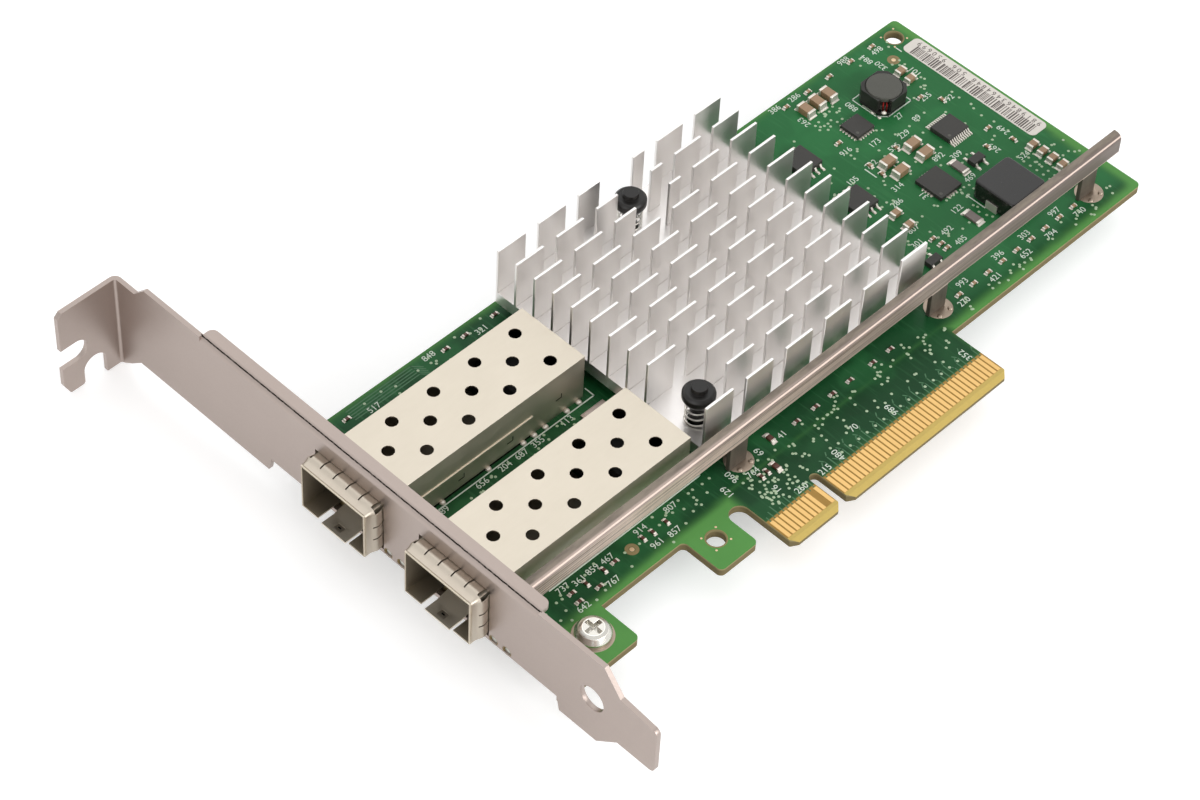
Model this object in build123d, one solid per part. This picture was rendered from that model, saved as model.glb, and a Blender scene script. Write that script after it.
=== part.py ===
from build123d import *
from math import cos, pi, sin
import os

# Network interface card with two pluggable optical ports, component side up, sizes in millimetres.
# The origin is the centre of the connector key notch, on the card's lower edge and the board's
# component face. X runs from the mounting bracket to the far end, Y from the edge connector up to
# the top edge, and Z out of the component face.

# Circuit board
board_thk = 1.57
board_top = 68.3
board_low = 12.3
board_corner_r = 1.0

# Edge connector, on the standard 1 mm pitch
pitch = 1.0
key_width = 1.9
key_depth = 7.8
short_count = 11
long_count = 38
pad_width = 0.7
pad_length = 4.0
pad_from_edge = 1.6
pad_thk = 0.05
edge_margin = 0.65
edge_bevel = 0.45
tongue_corner = 1.1
missing_pad = 10

# Hook slot, hook tab and the ear that carries the bracket screw
slot_width = 3.7
slot_depth = 11.7
hook_tab_width = 8.4
hook_tab_low = 4.2
hook_hole_r = 1.6
hook_hole_up = 5.0
hook_hole_inset = 4.3
ear_right = -42.3
ear_low = 4.0
corner_hole_r = 1.6
corner_hole_inset_x = 3.6
corner_hole_inset_y = 3.1

# Mounting bracket, bent from one sheet
sheet = 0.86
bend_r = 0.5
bracket_x = -58.4
bracket_high = 14.4
bracket_low = -4.3
step_run = 0.4
step_clear = 0.2
tab_y = 105.6
tab_depth = 11.9
tab_high = 11.75
tab_low = -7.9
tab_corner = 0.9
prong_cut_x = 1.2
prong_cut_z = 3.0
prong_foot = 0.6
prong_round = 0.5
screw_slot_width = 4.42
screw_slot_z = 1.2
screw_slot_depth = 5.3
tab_notch_width = 4.6
tab_notch_x = 5.4
tab_notch_top = -2.3
neck_y = 101.0
shoulder_y = 98.5
slant_y = 103.0
slant_run = 2.4
slant_z = -6.4
lip_from = 10.2
lip_to = 85.2
lip_depth = 2.9
lip_corner = 1.2
flange_from = 5.7
flange_to = 69.2
flange_depth = 4.4
board_gap = 0.9
screw_tab_depth = 14.8
screw_tab_width = 7.6
screw_tab_corner = 1.5
tongue_end = -14.46
tongue_corner_r = 1.1
tongue_high = 9.2
tongue_low = -0.6
tongue_top_y = -3.5
tongue_top_run = 3.5
tongue_neck_z = 10.1
tongue_foot_y = -2.7
tongue_foot_run = 4.15
bracket_hole_r = 2.4
bracket_hole_y = -1.4
bracket_hole_z = 4.9
led_hole_r = 0.95
led_hole_z = -0.6
led_spacing = 2.9
led_from_cage = 1.55
led_length = 1.6
led_width = 1.2
led_high = 0.8
led_gap = 0.15

# Bracket screw
screw_x = -47.1
screw_y = 9.3
screw_r = 1.45
screw_head_r = 2.95
screw_head_h = 2.0
screw_crown = 1.2
screw_below = 1.1
recess_arm = 3.1
recess_width = 0.75
recess_deep = 1.1
thread_gap = 0.08
board_screw_hole_r = 1.75

# Port cages
port_y = 27.85
port_spacing = 23.1
cage_width = 14.2
cage_height = 9.7
cage_wall = 0.3
cage_length = 47.4
cage_out = 3.5
port_gap = 0.55
vent_r = 1.1
vent_sides = 12
vent_pitch_x = 8.9
vent_count = 4
vent_pitch_y = 3.95
vent_inset = 4.6
latch_width = 5.4
latch_root_gap = 0.1
latch_slit = 0.8
latch_set = 0.6
latch_flat = 2.6
latch_eye_x = 1.2
latch_eye_y = 1.6
wrap_thk = 0.2
wrap_high = 4.5
wrap_end_inset = 11.5
wrap_gap = 0.3
tail_width = 0.5
tail_count = 4
tail_pitch = 10.0
tail_inset = 1.3
tail_clear = 0.15
tail_below = 0.9

# Spring collar round each cage mouth
collar_thk = 0.16
collar_band = 0.8
collar_inset = 0.25
collar_bulge = 0.72
collar_peak = 1.9
collar_crest = 0.9
collar_end_gap = 0.08
collar_face_gap = 0.1
collar_past_face = 0.4
collar_low = 0.5
finger_slit = 0.3
top_fingers = 5
side_fingers = 3
side_finger_span = 8.4

# Host connector inside each cage
host_width = 12.2
host_height = 5.4
host_length = 9.4
host_rear_gap = 2.6
host_floor_gap = 0.4
host_chamfer = 1.2
host_slot_width = 9.6
host_slot_height = 1.5
host_slot_z = 3.4
host_slot_depth = 6.4
host_contacts = 10
host_pitch = 0.8
contact_width = 0.35
contact_thk = 0.2
contact_inset = 1.2
contact_foot = 0.9

# Controller chip, thermal pad and heat sink
sink_cage_gap = 2.7
chip_y = 43.9
chip_size = 25.0
chip_substrate = 1.1
chip_lid_size = 19.0
chip_lid = 0.9
chip_lid_corner = 0.8
thermal_pad_thk = 0.3
thermal_pad_size = 17.0
sink_length = 51.8
sink_past_pins_x = 4.0
sink_past_front_pin = 5.2
sink_past_rear_pin = 4.4
power_run = 48.3
sink_base = 2.5
fin_height = 9.6
fin_thk = 0.5
fin_lines = 12
fin_columns = 6
fin_gap = 2.95
pin_dx = 11.2
pin_dy = 18.4
front_pocket_low = 3.5
rear_pocket_low = 4.2
rear_pocket_left = 3.3
pocket_width = 7.8
pocket_depth = 8.6

# Push pins and their springs
shank_r = 1.25
shank_gap = 0.3
head_r = 2.75
head_h = 2.2
head_foot_r = 2.4
head_lip = 0.7
head_round = 0.5
boss_r = 1.35
boss_h = 1.0
barb_r = 1.75
barb_tip_r = 0.7
barb_wide = 1.1
barb_below = 2.5
spring_r = 2.0
spring_wire = 0.25
spring_height = 4.6
spring_turns = 3.5
spring_step_count = 9

# Stiffening rail along the ports and the heat sink
rail_y = 17.0
rail_thk = 0.8
rail_bend_r = 0.4
rail_flange = 1.75
rail_high = 9.4
rail_low = 5.3
rail_end_inset = 1.4
leg_width = 4.0
leg_x = [-7.0, 40.8]
last_leg_inset = 9.0

# Parts of the power section, measured from the far top corner of the board
drum_dx = 17.0
drum_dy = 12.2
drum_base = 6.9
drum_r = 3.2
drum_core_r = 2.0
drum_high = 3.6
drum_base_thk = 0.8
drum_base_cut = 1.3
drum_flange = 0.9
drum_edge = 0.15
drum_wire_inset = 0.35
drum_shield_gap = 0.08
drum_shield_drop = 0.25
drum_notch = 1.7
drum_clip = 1.5
drum_clip_thk = 0.2
block_dx = 19.0
block_dy = 42.4
block_x = 8.8
block_y = 8.8
block_high = 4.0
block_lift = 0.3
block_corner = 0.9
block_edge = 0.25
block_clip = 2.4
block_clip_thk = 0.2
block_clip_foot = 2.0
block_clip_high = 1.6

label_inset = 0.55
label_width = 4.2
label_length = 30.2
label_dy = 5.8
label_corner = 1.0
label_thk = 0.08

# Chips of the power section: width, depth and height, with their places from the far top corner
lead_thk = 0.2
controller_size = (4.3, 4.1, 0.8)
controller_at = (25.3, 13.8)
controller_lead_count = 6
stage_size = (5.3, 5.9, 0.8)
stage_at = (25.4, 32.35)
stage_lead_count = 4
logic_size = (5.0, 4.4, 1.0)
logic_at = (14.1, 25.0)
logic_lead_count = 10
lead_pitch = 0.5
lead_width = 0.24
lead_foot = 0.6
lead_reach = 1.0
lead_lift = 0.5
flat_lead_out = 0.12
flat_lead_pitch = 0.65
flat_lead_width = 0.35
wide_lead_width = 0.4
chip_clear = 0.05
transistor_size = (2.9, 1.6, 1.0)
transistor_at = (16.4, 33.1)
driver_at = (39.7, 43.7)
transistor_lead_count = 2
transistor_pitch = 1.9

# Memory chips close to the fins, measured from the controller's centre
memory_size = (4.9, 5.2, 1.3)
memory_dx = 46.1
memory_dy = [11.3, -1.5]
memory_lead_count = 4
memory_pitch = 1.27

# Two-ended chip parts: length, width, height and the length of each metal end
large_capacitor = (3.0, 1.7, 1.3, 0.45)
medium_capacitor = (2.0, 1.25, 0.9, 0.4)
large_resistor = (3.4, 1.6, 0.5, 0.45)
fuse = (1.8, 0.9, 0.5, 0.35)

# The smallest parts: length, width and height
small_capacitor = (1.1, 0.55, 0.45)
small_resistor = (1.1, 0.55, 0.35)

# Their places: from the far top corner for the power section, where 0 lies along X and 90 along Y
top_capacitor_at = (28.9, 5.15)
top_capacitor_step = 2.85
top_capacitor_count = 3
pair_capacitor_at = (28.0, 23.25)
pair_capacitor_step = (6.3, 2.9)
end_capacitor_at = (6.5, 37.4)
end_capacitor_step = 2.2
end_capacitor_count = 4
large_resistor_at = [(19.7, 32.1), (27.0, 41.5)]
medium_capacitor_at = [(9.45, 9.8), (9.65, 12.2), (36.0, 32.1), (36.4, 35.4)]
top_row_dx = 8.3
top_row_dy = 2.0
top_row_step = 5.55
top_row_count = 5
power_small_at = [
    (30.4, 14.1, 0), (35.7, 40.1, 0), (35.5, 41.8, 0), (35.5, 43.1, 0), (30.5, 21.4, 90),
    (24.0, 21.7, 90), (30.5, 24.2, 90), (9.3, 19.3, 90), (8.8, 29.3, 0), (12.4, 32.2, 90),
    (7.7, 34.1, 90), (11.7, 16.3, 0),
]
low_row_y = 16.85
low_row_from = 46.2
low_row_step = 3.69
low_row_count = 9
low_small_at = [
    (-43.9, 17.0, 0), (-41.0, 16.8, 90), (-37.2, 16.8, 90), (-34.8, 16.8, 0), (-39.9, 15.0, 0),
    (-44.2, 15.1, 0), (-26.4, 16.8, 90), (-23.4, 16.8, 90), (-28.4, 17.0, 90), (-6.0, 12.8, 90),
    (-4.6, 12.9, 90), (6.4, 16.7, 0), (10.9, 16.7, 0), (14.9, 16.7, 0), (19.1, 16.7, 0),
    (24.6, 16.7, 0), (28.9, 16.7, 0),
]
fuse_at = [(0.7, 17.2), (-2.9, 12.6)]
rim_small_x = [-45.0, -23.4, -19.0, -12.4]
rim_small_dy = 2.1

# Crystal between the ports
crystal_size = (5.0, 3.2, 1.0)
crystal_from_back = 1.1
crystal_y = 39.3
crystal_foot = 0.15
crystal_lid_inset = 0.35

# Values worked out from the sizes above
bracket_in = bracket_x + sheet
board_left = bracket_in + board_gap
left_edge = -(short_count + 0.5) * pitch - edge_margin
right_edge = (long_count + 0.5) * pitch + edge_margin
slot_mid = left_edge - slot_width / 2
hook_right = left_edge - slot_width
hook_left = hook_right - hook_tab_width
hook_hole_x = hook_right - hook_hole_inset
ports = [port_y + port_spacing, port_y]
port_opening_y = cage_width + 2 * port_gap
cage_front = bracket_x - cage_out
cage_back = cage_front + cage_length
host_back = cage_back - host_rear_gap
host_front = host_back - host_length
latch_length = board_left - latch_root_gap - cage_front
sink_x0 = cage_back + sink_cage_gap
sink_x1 = sink_x0 + sink_length
chip_x = sink_x0 + sink_past_pins_x + pin_dx
sink_y0 = chip_y - pin_dy - sink_past_front_pin
sink_y1 = chip_y + pin_dy + sink_past_rear_pin
board_right = sink_x1 + power_run
sink_z = chip_substrate + chip_lid + thermal_pad_thk
sink_top = sink_z + sink_base
push_pins_at = [(chip_x - pin_dx, chip_y - pin_dy), (chip_x + pin_dx, chip_y + pin_dy)]
leg_places = leg_x + [board_right - last_leg_inset]


def block(x0, x1, y0, y1, z0, z1):
    """A box between two corners."""
    return Pos((x0 + x1) / 2, (y0 + y1) / 2, (z0 + z1) / 2) * Box(x1 - x0, y1 - y0, z1 - z0)


def chip(x, y, size_x, size_y, z0, z1):
    """A box centred on a place on the board."""
    return block(x - size_x / 2, x + size_x / 2, y - size_y / 2, y + size_y / 2, z0, z1)


def post(x, y, radius, z0, z1):
    """An upright cylinder."""
    return Pos(x, y, (z0 + z1) / 2) * Cylinder(radius, z1 - z0)


def plate(points, plane, depth):
    """A flat sheet: a closed outline on a plane, given depth along the plane's normal."""
    return extrude(plane * make_face(Polyline(*points, close=True)), amount=depth)


def turned(profile, x, y):
    """A body turned about an upright axis, from the outline of its half section."""
    return Pos(x, y, 0) * revolve(Plane.XZ * make_face(Polyline(*profile, close=True)), Axis.Z, 360)


def nearest_edges(shape, axis, places):
    """The edges along one axis that pass nearest to the given places."""
    found = ShapeList()
    for place in places:
        found.append(shape.edges().filter_by(axis).sort_by_distance(Vector(*place))[0])
    return found


def corners(x, y, size_x, size_y):
    """The four corners of a rectangle about a place on the board."""
    return [(x + i * size_x / 2, y + j * size_y / 2, 0) for i in (-1, 1) for j in (-1, 1)]


def far(place):
    """A place given by its distances from the far end and from the top edge of the board."""
    return board_right - place[0], board_top - place[1]


def angle_section(leg_a, leg_b, thk, inner_r):
    """The section of a folded sheet, with its outer corner at the origin."""
    outer_r = inner_r + thk
    ring = Pos(outer_r, outer_r) * (Circle(outer_r) - Circle(inner_r))
    section = ring & (Pos(outer_r / 2, outer_r / 2) * Rectangle(outer_r, outer_r))
    if leg_a > outer_r:
        section += Pos((outer_r + leg_a) / 2, thk / 2) * Rectangle(leg_a - outer_r, thk)
    if leg_b > outer_r:
        section += Pos(thk / 2, (outer_r + leg_b) / 2) * Rectangle(thk, leg_b - outer_r)
    return section


def circuit_board():
    """The board with its connector tongues, hook slot, hook tab, screw ear and holes."""
    c = tongue_corner
    outline = [
        (board_left, ear_low), (ear_right, ear_low), (ear_right, board_low),
        (hook_left, board_low), (hook_left, hook_tab_low), (hook_right, hook_tab_low),
        (hook_right, board_low), (left_edge, board_low), (left_edge, c), (left_edge + c, 0),
        (-key_width / 2 - c, 0), (-key_width / 2, c), (-key_width / 2, board_low),
        (key_width / 2, board_low), (key_width / 2, c), (key_width / 2 + c, 0),
        (right_edge - c, 0), (right_edge, c), (right_edge, board_low),
        (board_right, board_low), (board_right, board_top), (board_left, board_top),
    ]
    body = plate(outline, Plane.XY.offset(-board_thk), board_thk)
    round_at = [(board_right, board_low, 0), (board_right, board_top, 0), (hook_left, board_low, 0),
                (hook_left, hook_tab_low, 0), (hook_right, hook_tab_low, 0), (ear_right, ear_low, 0)]
    body = fillet(nearest_edges(body, Axis.Z, round_at), board_corner_r)
    # The key notch and the hook slot both end in a half round.
    for middle, width, depth in ((0, key_width, key_depth), (slot_mid, slot_width, slot_depth)):
        start = depth - width / 2
        filled = block(middle - width / 2, middle + width / 2, start, board_low, -board_thk, 0)
        body += filled - post(middle, start, width / 2, -board_thk, 0)
    for x0, x1 in ((left_edge, -key_width / 2), (key_width / 2, right_edge)):
        for z, side in ((0, 1), (-board_thk, -1)):
            wedge = [(0, z), (edge_bevel * 2, z), (0, z - side * edge_bevel)]
            body -= plate(wedge, Plane.YZ.offset(x0), x1 - x0)
    body -= post(hook_hole_x, hook_tab_low + hook_hole_up, hook_hole_r, -board_thk, 0)
    body -= post(*far((corner_hole_inset_x, corner_hole_inset_y)), corner_hole_r, -board_thk, 0)
    body -= post(screw_x, screw_y, board_screw_hole_r, -board_thk, 0)
    for x, y in push_pins_at:
        body -= post(x, y, shank_r + shank_gap, -board_thk, 0)
    for y in ports:
        for side in (-1, 1):
            for x in tail_places():
                body -= chip(x, y + side * (cage_width - cage_wall) / 2, tail_width + 2 * tail_clear,
                             cage_wall + 2 * tail_clear, -board_thk, 0)
    return body


def edge_contacts():
    """Gold contact pads on both faces of the connector tongues."""
    pads = []
    for number in range(1, short_count + long_count + 1):
        gap = 0 if number <= short_count else 2
        x = (number - short_count - 1.5 + gap) * pitch
        y = (pad_from_edge, pad_from_edge + pad_length)
        if number != missing_pad:
            pads.append(block(x - pad_width / 2, x + pad_width / 2, *y, 0, pad_thk))
        pads.append(block(x - pad_width / 2, x + pad_width / 2, *y, -board_thk - pad_thk, -board_thk))
    return pads


def bracket():
    """The full-height bracket: face with port openings, top tab, lip, lower flange and tongue."""
    bend = sheet + bend_r
    outer = tab_y + sheet
    under = -board_thk - sheet
    outline = [
        (outer - bend, tab_high), (neck_y, tab_high), (shoulder_y, bracket_high),
        (tongue_top_y, bracket_high), (tongue_top_y - tongue_top_run, tongue_neck_z),
        (tongue_end, tongue_high), (tongue_end, tongue_low),
        (tongue_foot_y - tongue_foot_run, tongue_low), (tongue_foot_y, bracket_low),
        (flange_from - step_clear - step_run, bracket_low), (flange_from - step_clear, under),
        (flange_to + step_clear, under), (flange_to + step_clear + step_run, bracket_low),
        (slant_y - slant_run, bracket_low), (slant_y, slant_z), (outer - bend, tab_low),
    ]
    face = plate(outline, Plane.YZ.offset(bracket_x), sheet)
    tongue_corners = [(bracket_x, tongue_end, tongue_high), (bracket_x, tongue_end, tongue_low)]
    face = fillet(nearest_edges(face, Axis.X, tongue_corners), tongue_corner_r)
    face -= block(bracket_x, bracket_in, lip_from, lip_to, bracket_high - bend, bracket_high)
    face -= block(bracket_x, bracket_in, flange_from, flange_to, under, under + bend)
    cut_plane = Plane.YZ.offset(bracket_x + sheet / 2)
    for y in ports:
        half = port_opening_y / 2
        face -= block(bracket_x, bracket_in, y - half, y + half, -port_gap, cage_height + port_gap)
        for led_y in led_places(y):
            face -= cut_plane * Pos(led_y, led_hole_z) * Cylinder(led_hole_r, sheet)
    face -= cut_plane * Pos(bracket_hole_y, bracket_hole_z) * Cylinder(bracket_hole_r, sheet)
    section = angle_section(bend, bend, sheet, bend_r)
    # The lip turns inward at the top edge of the face, the flange at its lower edge.
    lip_plane = Plane(origin=(bracket_x, lip_to, bracket_high), x_dir=(1, 0, 0), z_dir=(0, 1, 0))
    lip_bend = extrude(lip_plane * section, amount=lip_from - lip_to)
    lip_low = bracket_high - sheet
    lip = block(bracket_x + bend, bracket_x + lip_depth, lip_from, lip_to, lip_low, bracket_high)
    lip_ends = [(bracket_x + lip_depth, y, bracket_high) for y in (lip_from, lip_to)]
    lip = fillet(nearest_edges(lip, Axis.Z, lip_ends), lip_corner)
    flange_plane = Plane(origin=(bracket_x, flange_from, under), x_dir=(1, 0, 0), z_dir=(0, -1, 0))
    flange_bend = extrude(flange_plane * section, amount=flange_from - flange_to)
    flange = block(bracket_x + bend, bracket_x + flange_depth, flange_from, flange_to, under, -board_thk)
    tab_to = flange_from + screw_tab_width
    screw_tab = block(bracket_x + bend, bracket_x + screw_tab_depth, flange_from, tab_to, under, -board_thk)
    tab_ends = [(bracket_x + screw_tab_depth, y, under) for y in (flange_from, tab_to)]
    flange += fillet(nearest_edges(screw_tab, Axis.Z, tab_ends), screw_tab_corner)
    flange -= post(screw_x, screw_y, screw_r + thread_gap, under, -board_thk)
    return face + lip_bend + lip + flange_bend + flange + top_tab(bend)


def top_tab(bend):
    """The tab that the chassis screw holds, turned outward at the top of the bracket face."""
    out = bracket_in - tab_depth - sheet
    outer = tab_y + sheet
    notch_x = bracket_x - tab_notch_x
    half = tab_notch_width / 2
    outline = [
        (bracket_in - bend, tab_high), (out + tab_corner, tab_high), (out, tab_high - tab_corner),
        (out, tab_low + prong_cut_z), (out + prong_cut_x, tab_low + prong_foot),
        (notch_x - half, tab_low + prong_foot), (notch_x - half, tab_notch_top - half),
        (notch_x + half, tab_notch_top - half), (notch_x + half, tab_low),
        (bracket_in - bend, tab_low),
    ]
    flat = plate(outline, Plane.XZ.offset(-outer), sheet)
    prong = [(out, outer, tab_low + prong_cut_z), (out + prong_cut_x, outer, tab_low + prong_foot),
             (notch_x - half, outer, tab_low + prong_foot)]
    flat = fillet(nearest_edges(flat, Axis.Y, prong), prong_round)
    middle = Plane.XZ.offset(-outer + sheet / 2)
    flat -= middle * Pos(notch_x, tab_notch_top - half) * Cylinder(half, sheet)
    slot_r = screw_slot_width / 2
    slot_end = out + screw_slot_depth - slot_r
    flat -= middle * Pos(slot_end, screw_slot_z) * Cylinder(slot_r, sheet)
    flat -= block(out, slot_end, tab_y, outer, screw_slot_z - slot_r, screw_slot_z + slot_r)
    section = angle_section(bend, bend, sheet, bend_r)
    corner = Plane(origin=(bracket_in, outer, tab_low), x_dir=(-1, 0, 0), z_dir=(0, 0, 1))
    return flat + extrude(corner * section, amount=tab_high - tab_low)


def led_places(y):
    """The two status lights beside a port, on the connector side of its cage."""
    first = y - cage_width / 2 - led_from_cage
    return [first, first - led_spacing]


def status_lights():
    """Right-angle light emitters on the board's edge, behind the bracket's small holes."""
    lights = []
    for y in ports:
        for led_y in led_places(y):
            x = board_left + led_gap + led_length / 2
            lights.append(chip(x, led_y, led_length, led_width, 0, led_high))
    return lights


def bracket_screw():
    """Pan head cross-recess screw that clamps the board to the bracket's tab."""
    low = -board_thk - sheet - screw_below
    profile = [
        (0, low), (screw_r, low), (screw_r, 0), (screw_head_r, 0),
        (screw_head_r, screw_head_h - screw_crown),
        (screw_head_r - screw_crown / 2, screw_head_h - screw_crown / 4),
        (screw_head_r - screw_crown, screw_head_h), (0, screw_head_h),
    ]
    screw = turned(profile, screw_x, screw_y)
    for size in ((recess_arm, recess_width), (recess_width, recess_arm)):
        screw -= chip(screw_x, screw_y, *size, screw_head_h - recess_deep, screw_head_h)
    return screw


def tail_places():
    """Where the solder tails of a cage's side go through the board, along X."""
    return [cage_back - tail_inset - k * tail_pitch for k in range(tail_count)]


def port_cage(y):
    """Folded sheet cage with vents, a latch tongue at the mouth and solder tails."""
    half = cage_width / 2
    w = cage_wall
    cage = block(cage_front, cage_back, y - half, y + half, 0, cage_height)
    cage -= block(cage_front, cage_back - w, y - half + w, y + half - w, w, cage_height - w)
    floor_half = host_width / 2 + host_floor_gap
    cage -= block(host_front - host_floor_gap, host_back + contact_foot + host_floor_gap,
                  y - floor_half, y + floor_half, 0, w)
    for row in (-1, 0, 1):
        start = cage_back - vent_inset - (row == 0) * vent_pitch_x / 2
        for k in range(vent_count):
            x = start - k * vent_pitch_x
            vent = Pos(x, y + row * vent_pitch_y, cage_height - w) * RegularPolygon(vent_r, vent_sides)
            cage -= extrude(vent, amount=w)
    # The base's folded side walls lap the outside of the cover as far as the middle of the cage.
    for side in (-1, 1):
        skin = y + side * (half + wrap_thk / 2)
        wrap = (bracket_in + collar_past_face + wrap_gap, cage_back - wrap_end_inset)
        cage += block(*wrap, skin - wrap_thk / 2, skin + wrap_thk / 2, 0, wrap_high)
    # The latch tongue is cut free at both sides and set outward a little for the module's catch.
    cage -= block(cage_front, cage_front + latch_length, y - latch_width / 2 - latch_slit,
                  y + latch_width / 2 + latch_slit, 0, w)
    set_z = -latch_set
    tongue = [(latch_length, 0), (latch_length, w), (latch_flat, set_z + w), (0, set_z + w),
              (0, set_z), (latch_flat, set_z)]
    tongue = [(cage_front + u, v) for u, v in tongue]
    latch = plate(tongue, Plane.XZ.offset(-y - latch_width / 2), latch_width)
    latch -= chip(cage_front + latch_flat / 2, y, latch_eye_x, latch_eye_y, set_z, set_z + w)
    cage += latch
    for side in (-1, 1):
        edge = y + side * (half - w / 2)
        for x in tail_places():
            cage += chip(x, edge, tail_width, w, -board_thk - tail_below, w)
    return cage


def collar_finger(width, length):
    """One bowed contact finger, lying on a cage wall with its root at the origin."""
    crest = collar_bulge - collar_thk
    under = [
        (0, 0), (collar_band, 0), (collar_peak - collar_crest / 2, crest),
        (collar_peak + collar_crest / 2, crest),
        (cage_out - collar_inset, port_gap - collar_face_gap - collar_thk), (length, collar_end_gap),
    ]
    over = [(u, v + collar_thk) for u, v in reversed(under)]
    return plate(under + over, Plane.XZ.offset(-width / 2), width)


def spring_collar(y):
    """Stamped collar of contact fingers that earths the cage to the bracket opening."""
    half = cage_width / 2
    t = collar_thk
    start = cage_front + collar_inset
    length = bracket_in + collar_past_face - start
    collar = block(start, start + collar_band, y - half - t, y + half + t, collar_low, cage_height + t)
    collar -= block(start, start + collar_band, y - half, y + half, collar_low, cage_height)
    step = cage_width / top_fingers
    for k in range(top_fingers):
        across = (k - (top_fingers - 1) / 2) * step
        collar += Pos(start, y + across, cage_height) * collar_finger(step - finger_slit, length)
    step = side_finger_span / side_fingers
    for side in (-1, 1):
        for k in range(side_fingers):
            up = cage_height / 2 + (k - (side_fingers - 1) / 2) * step
            place = Pos(start, y + side * half, up) * Rot(X=-side * 90)
            collar += place * collar_finger(step - finger_slit, length)
    return collar


def port_connector(y):
    """Host connector body with its card slot, soldered to the board inside the cage."""
    body = block(host_front, host_back, y - host_width / 2, y + host_width / 2, 0, host_height)
    body = chamfer(nearest_edges(body, Axis.Y, [(host_front, y, host_height)]), host_chamfer)
    half = host_slot_height / 2
    body -= block(host_front, host_front + host_slot_depth, y - host_slot_width / 2,
                  y + host_slot_width / 2, host_slot_z - half, host_slot_z + half)
    return body


def port_contacts(y):
    """Two rows of contacts in the host connector's card slot, and their solder feet."""
    half = host_slot_height / 2
    contacts = []
    for k in range(host_contacts):
        middle = y + (k - (host_contacts - 1) / 2) * host_pitch
        sides = (middle - contact_width / 2, middle + contact_width / 2)
        for z0 in (host_slot_z - half, host_slot_z + half - contact_thk):
            blade = (host_front + contact_inset, host_front + host_slot_depth)
            contacts.append(block(*blade, *sides, z0, z0 + contact_thk))
        contacts.append(block(host_back, host_back + contact_foot, *sides, 0, contact_thk))
    return contacts


def controller_chip():
    """Ball-grid network controller: laminate substrate under a metal lid."""
    body = chip(chip_x, chip_y, chip_size, chip_size, 0, chip_substrate)
    lid = chip(chip_x, chip_y, chip_lid_size, chip_lid_size, chip_substrate, chip_substrate + chip_lid)
    lid_edges = nearest_edges(lid, Axis.Z, corners(chip_x, chip_y, chip_lid_size, chip_lid_size))
    return body + fillet(lid_edges, chip_lid_corner)


def thermal_pad():
    """Soft pad between the controller and the heat sink."""
    low = chip_substrate + chip_lid
    return chip(chip_x, chip_y, thermal_pad_size, thermal_pad_size, low, low + thermal_pad_thk)


def clear_of_pockets(x0, x1, y):
    """A fin's length after the room round the push pins is taken from it."""
    front, rear = push_pins_at
    front_low = front[1] - front_pocket_low
    rear_left = rear[0] - rear_pocket_left
    if front_low < y + fin_thk and y < front_low + pocket_depth:
        x0 = max(x0, min(x1, sink_x0 + pocket_width + fin_thk))
    in_rear = y + fin_thk > rear[1] - rear_pocket_low
    if in_rear and x0 < rear_left + pocket_width and x1 > rear_left:
        if x0 < rear_left:
            x1 = rear_left
        else:
            x0 = min(x1, rear_left + pocket_width)
    return x0, x1


def heat_sink():
    """Cross-cut plate fins on a base, left out round the two push pins."""
    sink = block(sink_x0, sink_x1, sink_y0, sink_y1, sink_z, sink_top)
    line_step = (sink_y1 - sink_y0 - fin_thk) / (fin_lines - 1)
    fin_length = (sink_length - (fin_columns - 1) * fin_gap) / fin_columns
    fins = []
    for line in range(fin_lines):
        y = sink_y0 + line * line_step
        for column in range(fin_columns):
            start = sink_x0 + column * (fin_length + fin_gap)
            x0, x1 = clear_of_pockets(start, start + fin_length, y)
            if x1 - x0 > fin_thk:
                fins.append(block(x0, x1, y, y + fin_thk, sink_top, sink_top + fin_height))
    sink = sink.fuse(*fins)
    for x, y in push_pins_at:
        sink -= post(x, y, shank_r + shank_gap, sink_z, sink_top)
    return sink


def push_pins():
    """Moulded push pins: stepped head, shank through the base and the board, barb."""
    low = -board_thk - barb_below
    foot = sink_top + spring_height
    crown = foot + head_h
    top = crown + boss_h
    profile = [
        (0, low), (barb_tip_r, low), (barb_r, -board_thk - barb_wide), (barb_r, -board_thk),
        (shank_r, -board_thk), (shank_r, foot), (head_foot_r, foot), (head_r, foot + head_lip),
        (head_r, crown - head_round), (head_r - head_round, crown), (boss_r, crown), (boss_r, top), (0, top),
    ]
    return [turned(profile, x, y) for x, y in push_pins_at]


def push_pin_springs():
    """Coil springs that press the heat sink down onto the controller."""
    rise = spring_height - 2 * spring_wire
    steps = round(spring_turns * spring_step_count)
    route = []
    for k in range(steps + 1):
        turn = 2 * pi * k / spring_step_count
        route.append((spring_r * cos(turn), spring_r * sin(turn), rise * k / steps))
    path = Polyline(*route)
    start = Plane(origin=path @ 0, z_dir=path % 0)
    coil = sweep(start * RegularPolygon(spring_wire, 4), path=path, transition=Transition.RIGHT)
    return [Pos(x, y, sink_top + spring_wire) * coil for x, y in push_pins_at]


def stiffening_rail():
    """Folded rail with soldered legs that keeps the board straight."""
    length = board_right - rail_end_inset - bracket_in
    section = angle_section(rail_flange, rail_high - rail_low, rail_thk, rail_bend_r)
    start = Plane(origin=(bracket_in, rail_y, rail_high), x_dir=(0, 1, 0), z_dir=(1, 0, 0))
    rail = extrude(start * mirror(section, Plane.XZ), amount=length)
    for x in leg_places:
        half = leg_width / 2
        rail += block(x - half, x + half, rail_y, rail_y + rail_thk, 0, rail_low)
    return rail


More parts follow.
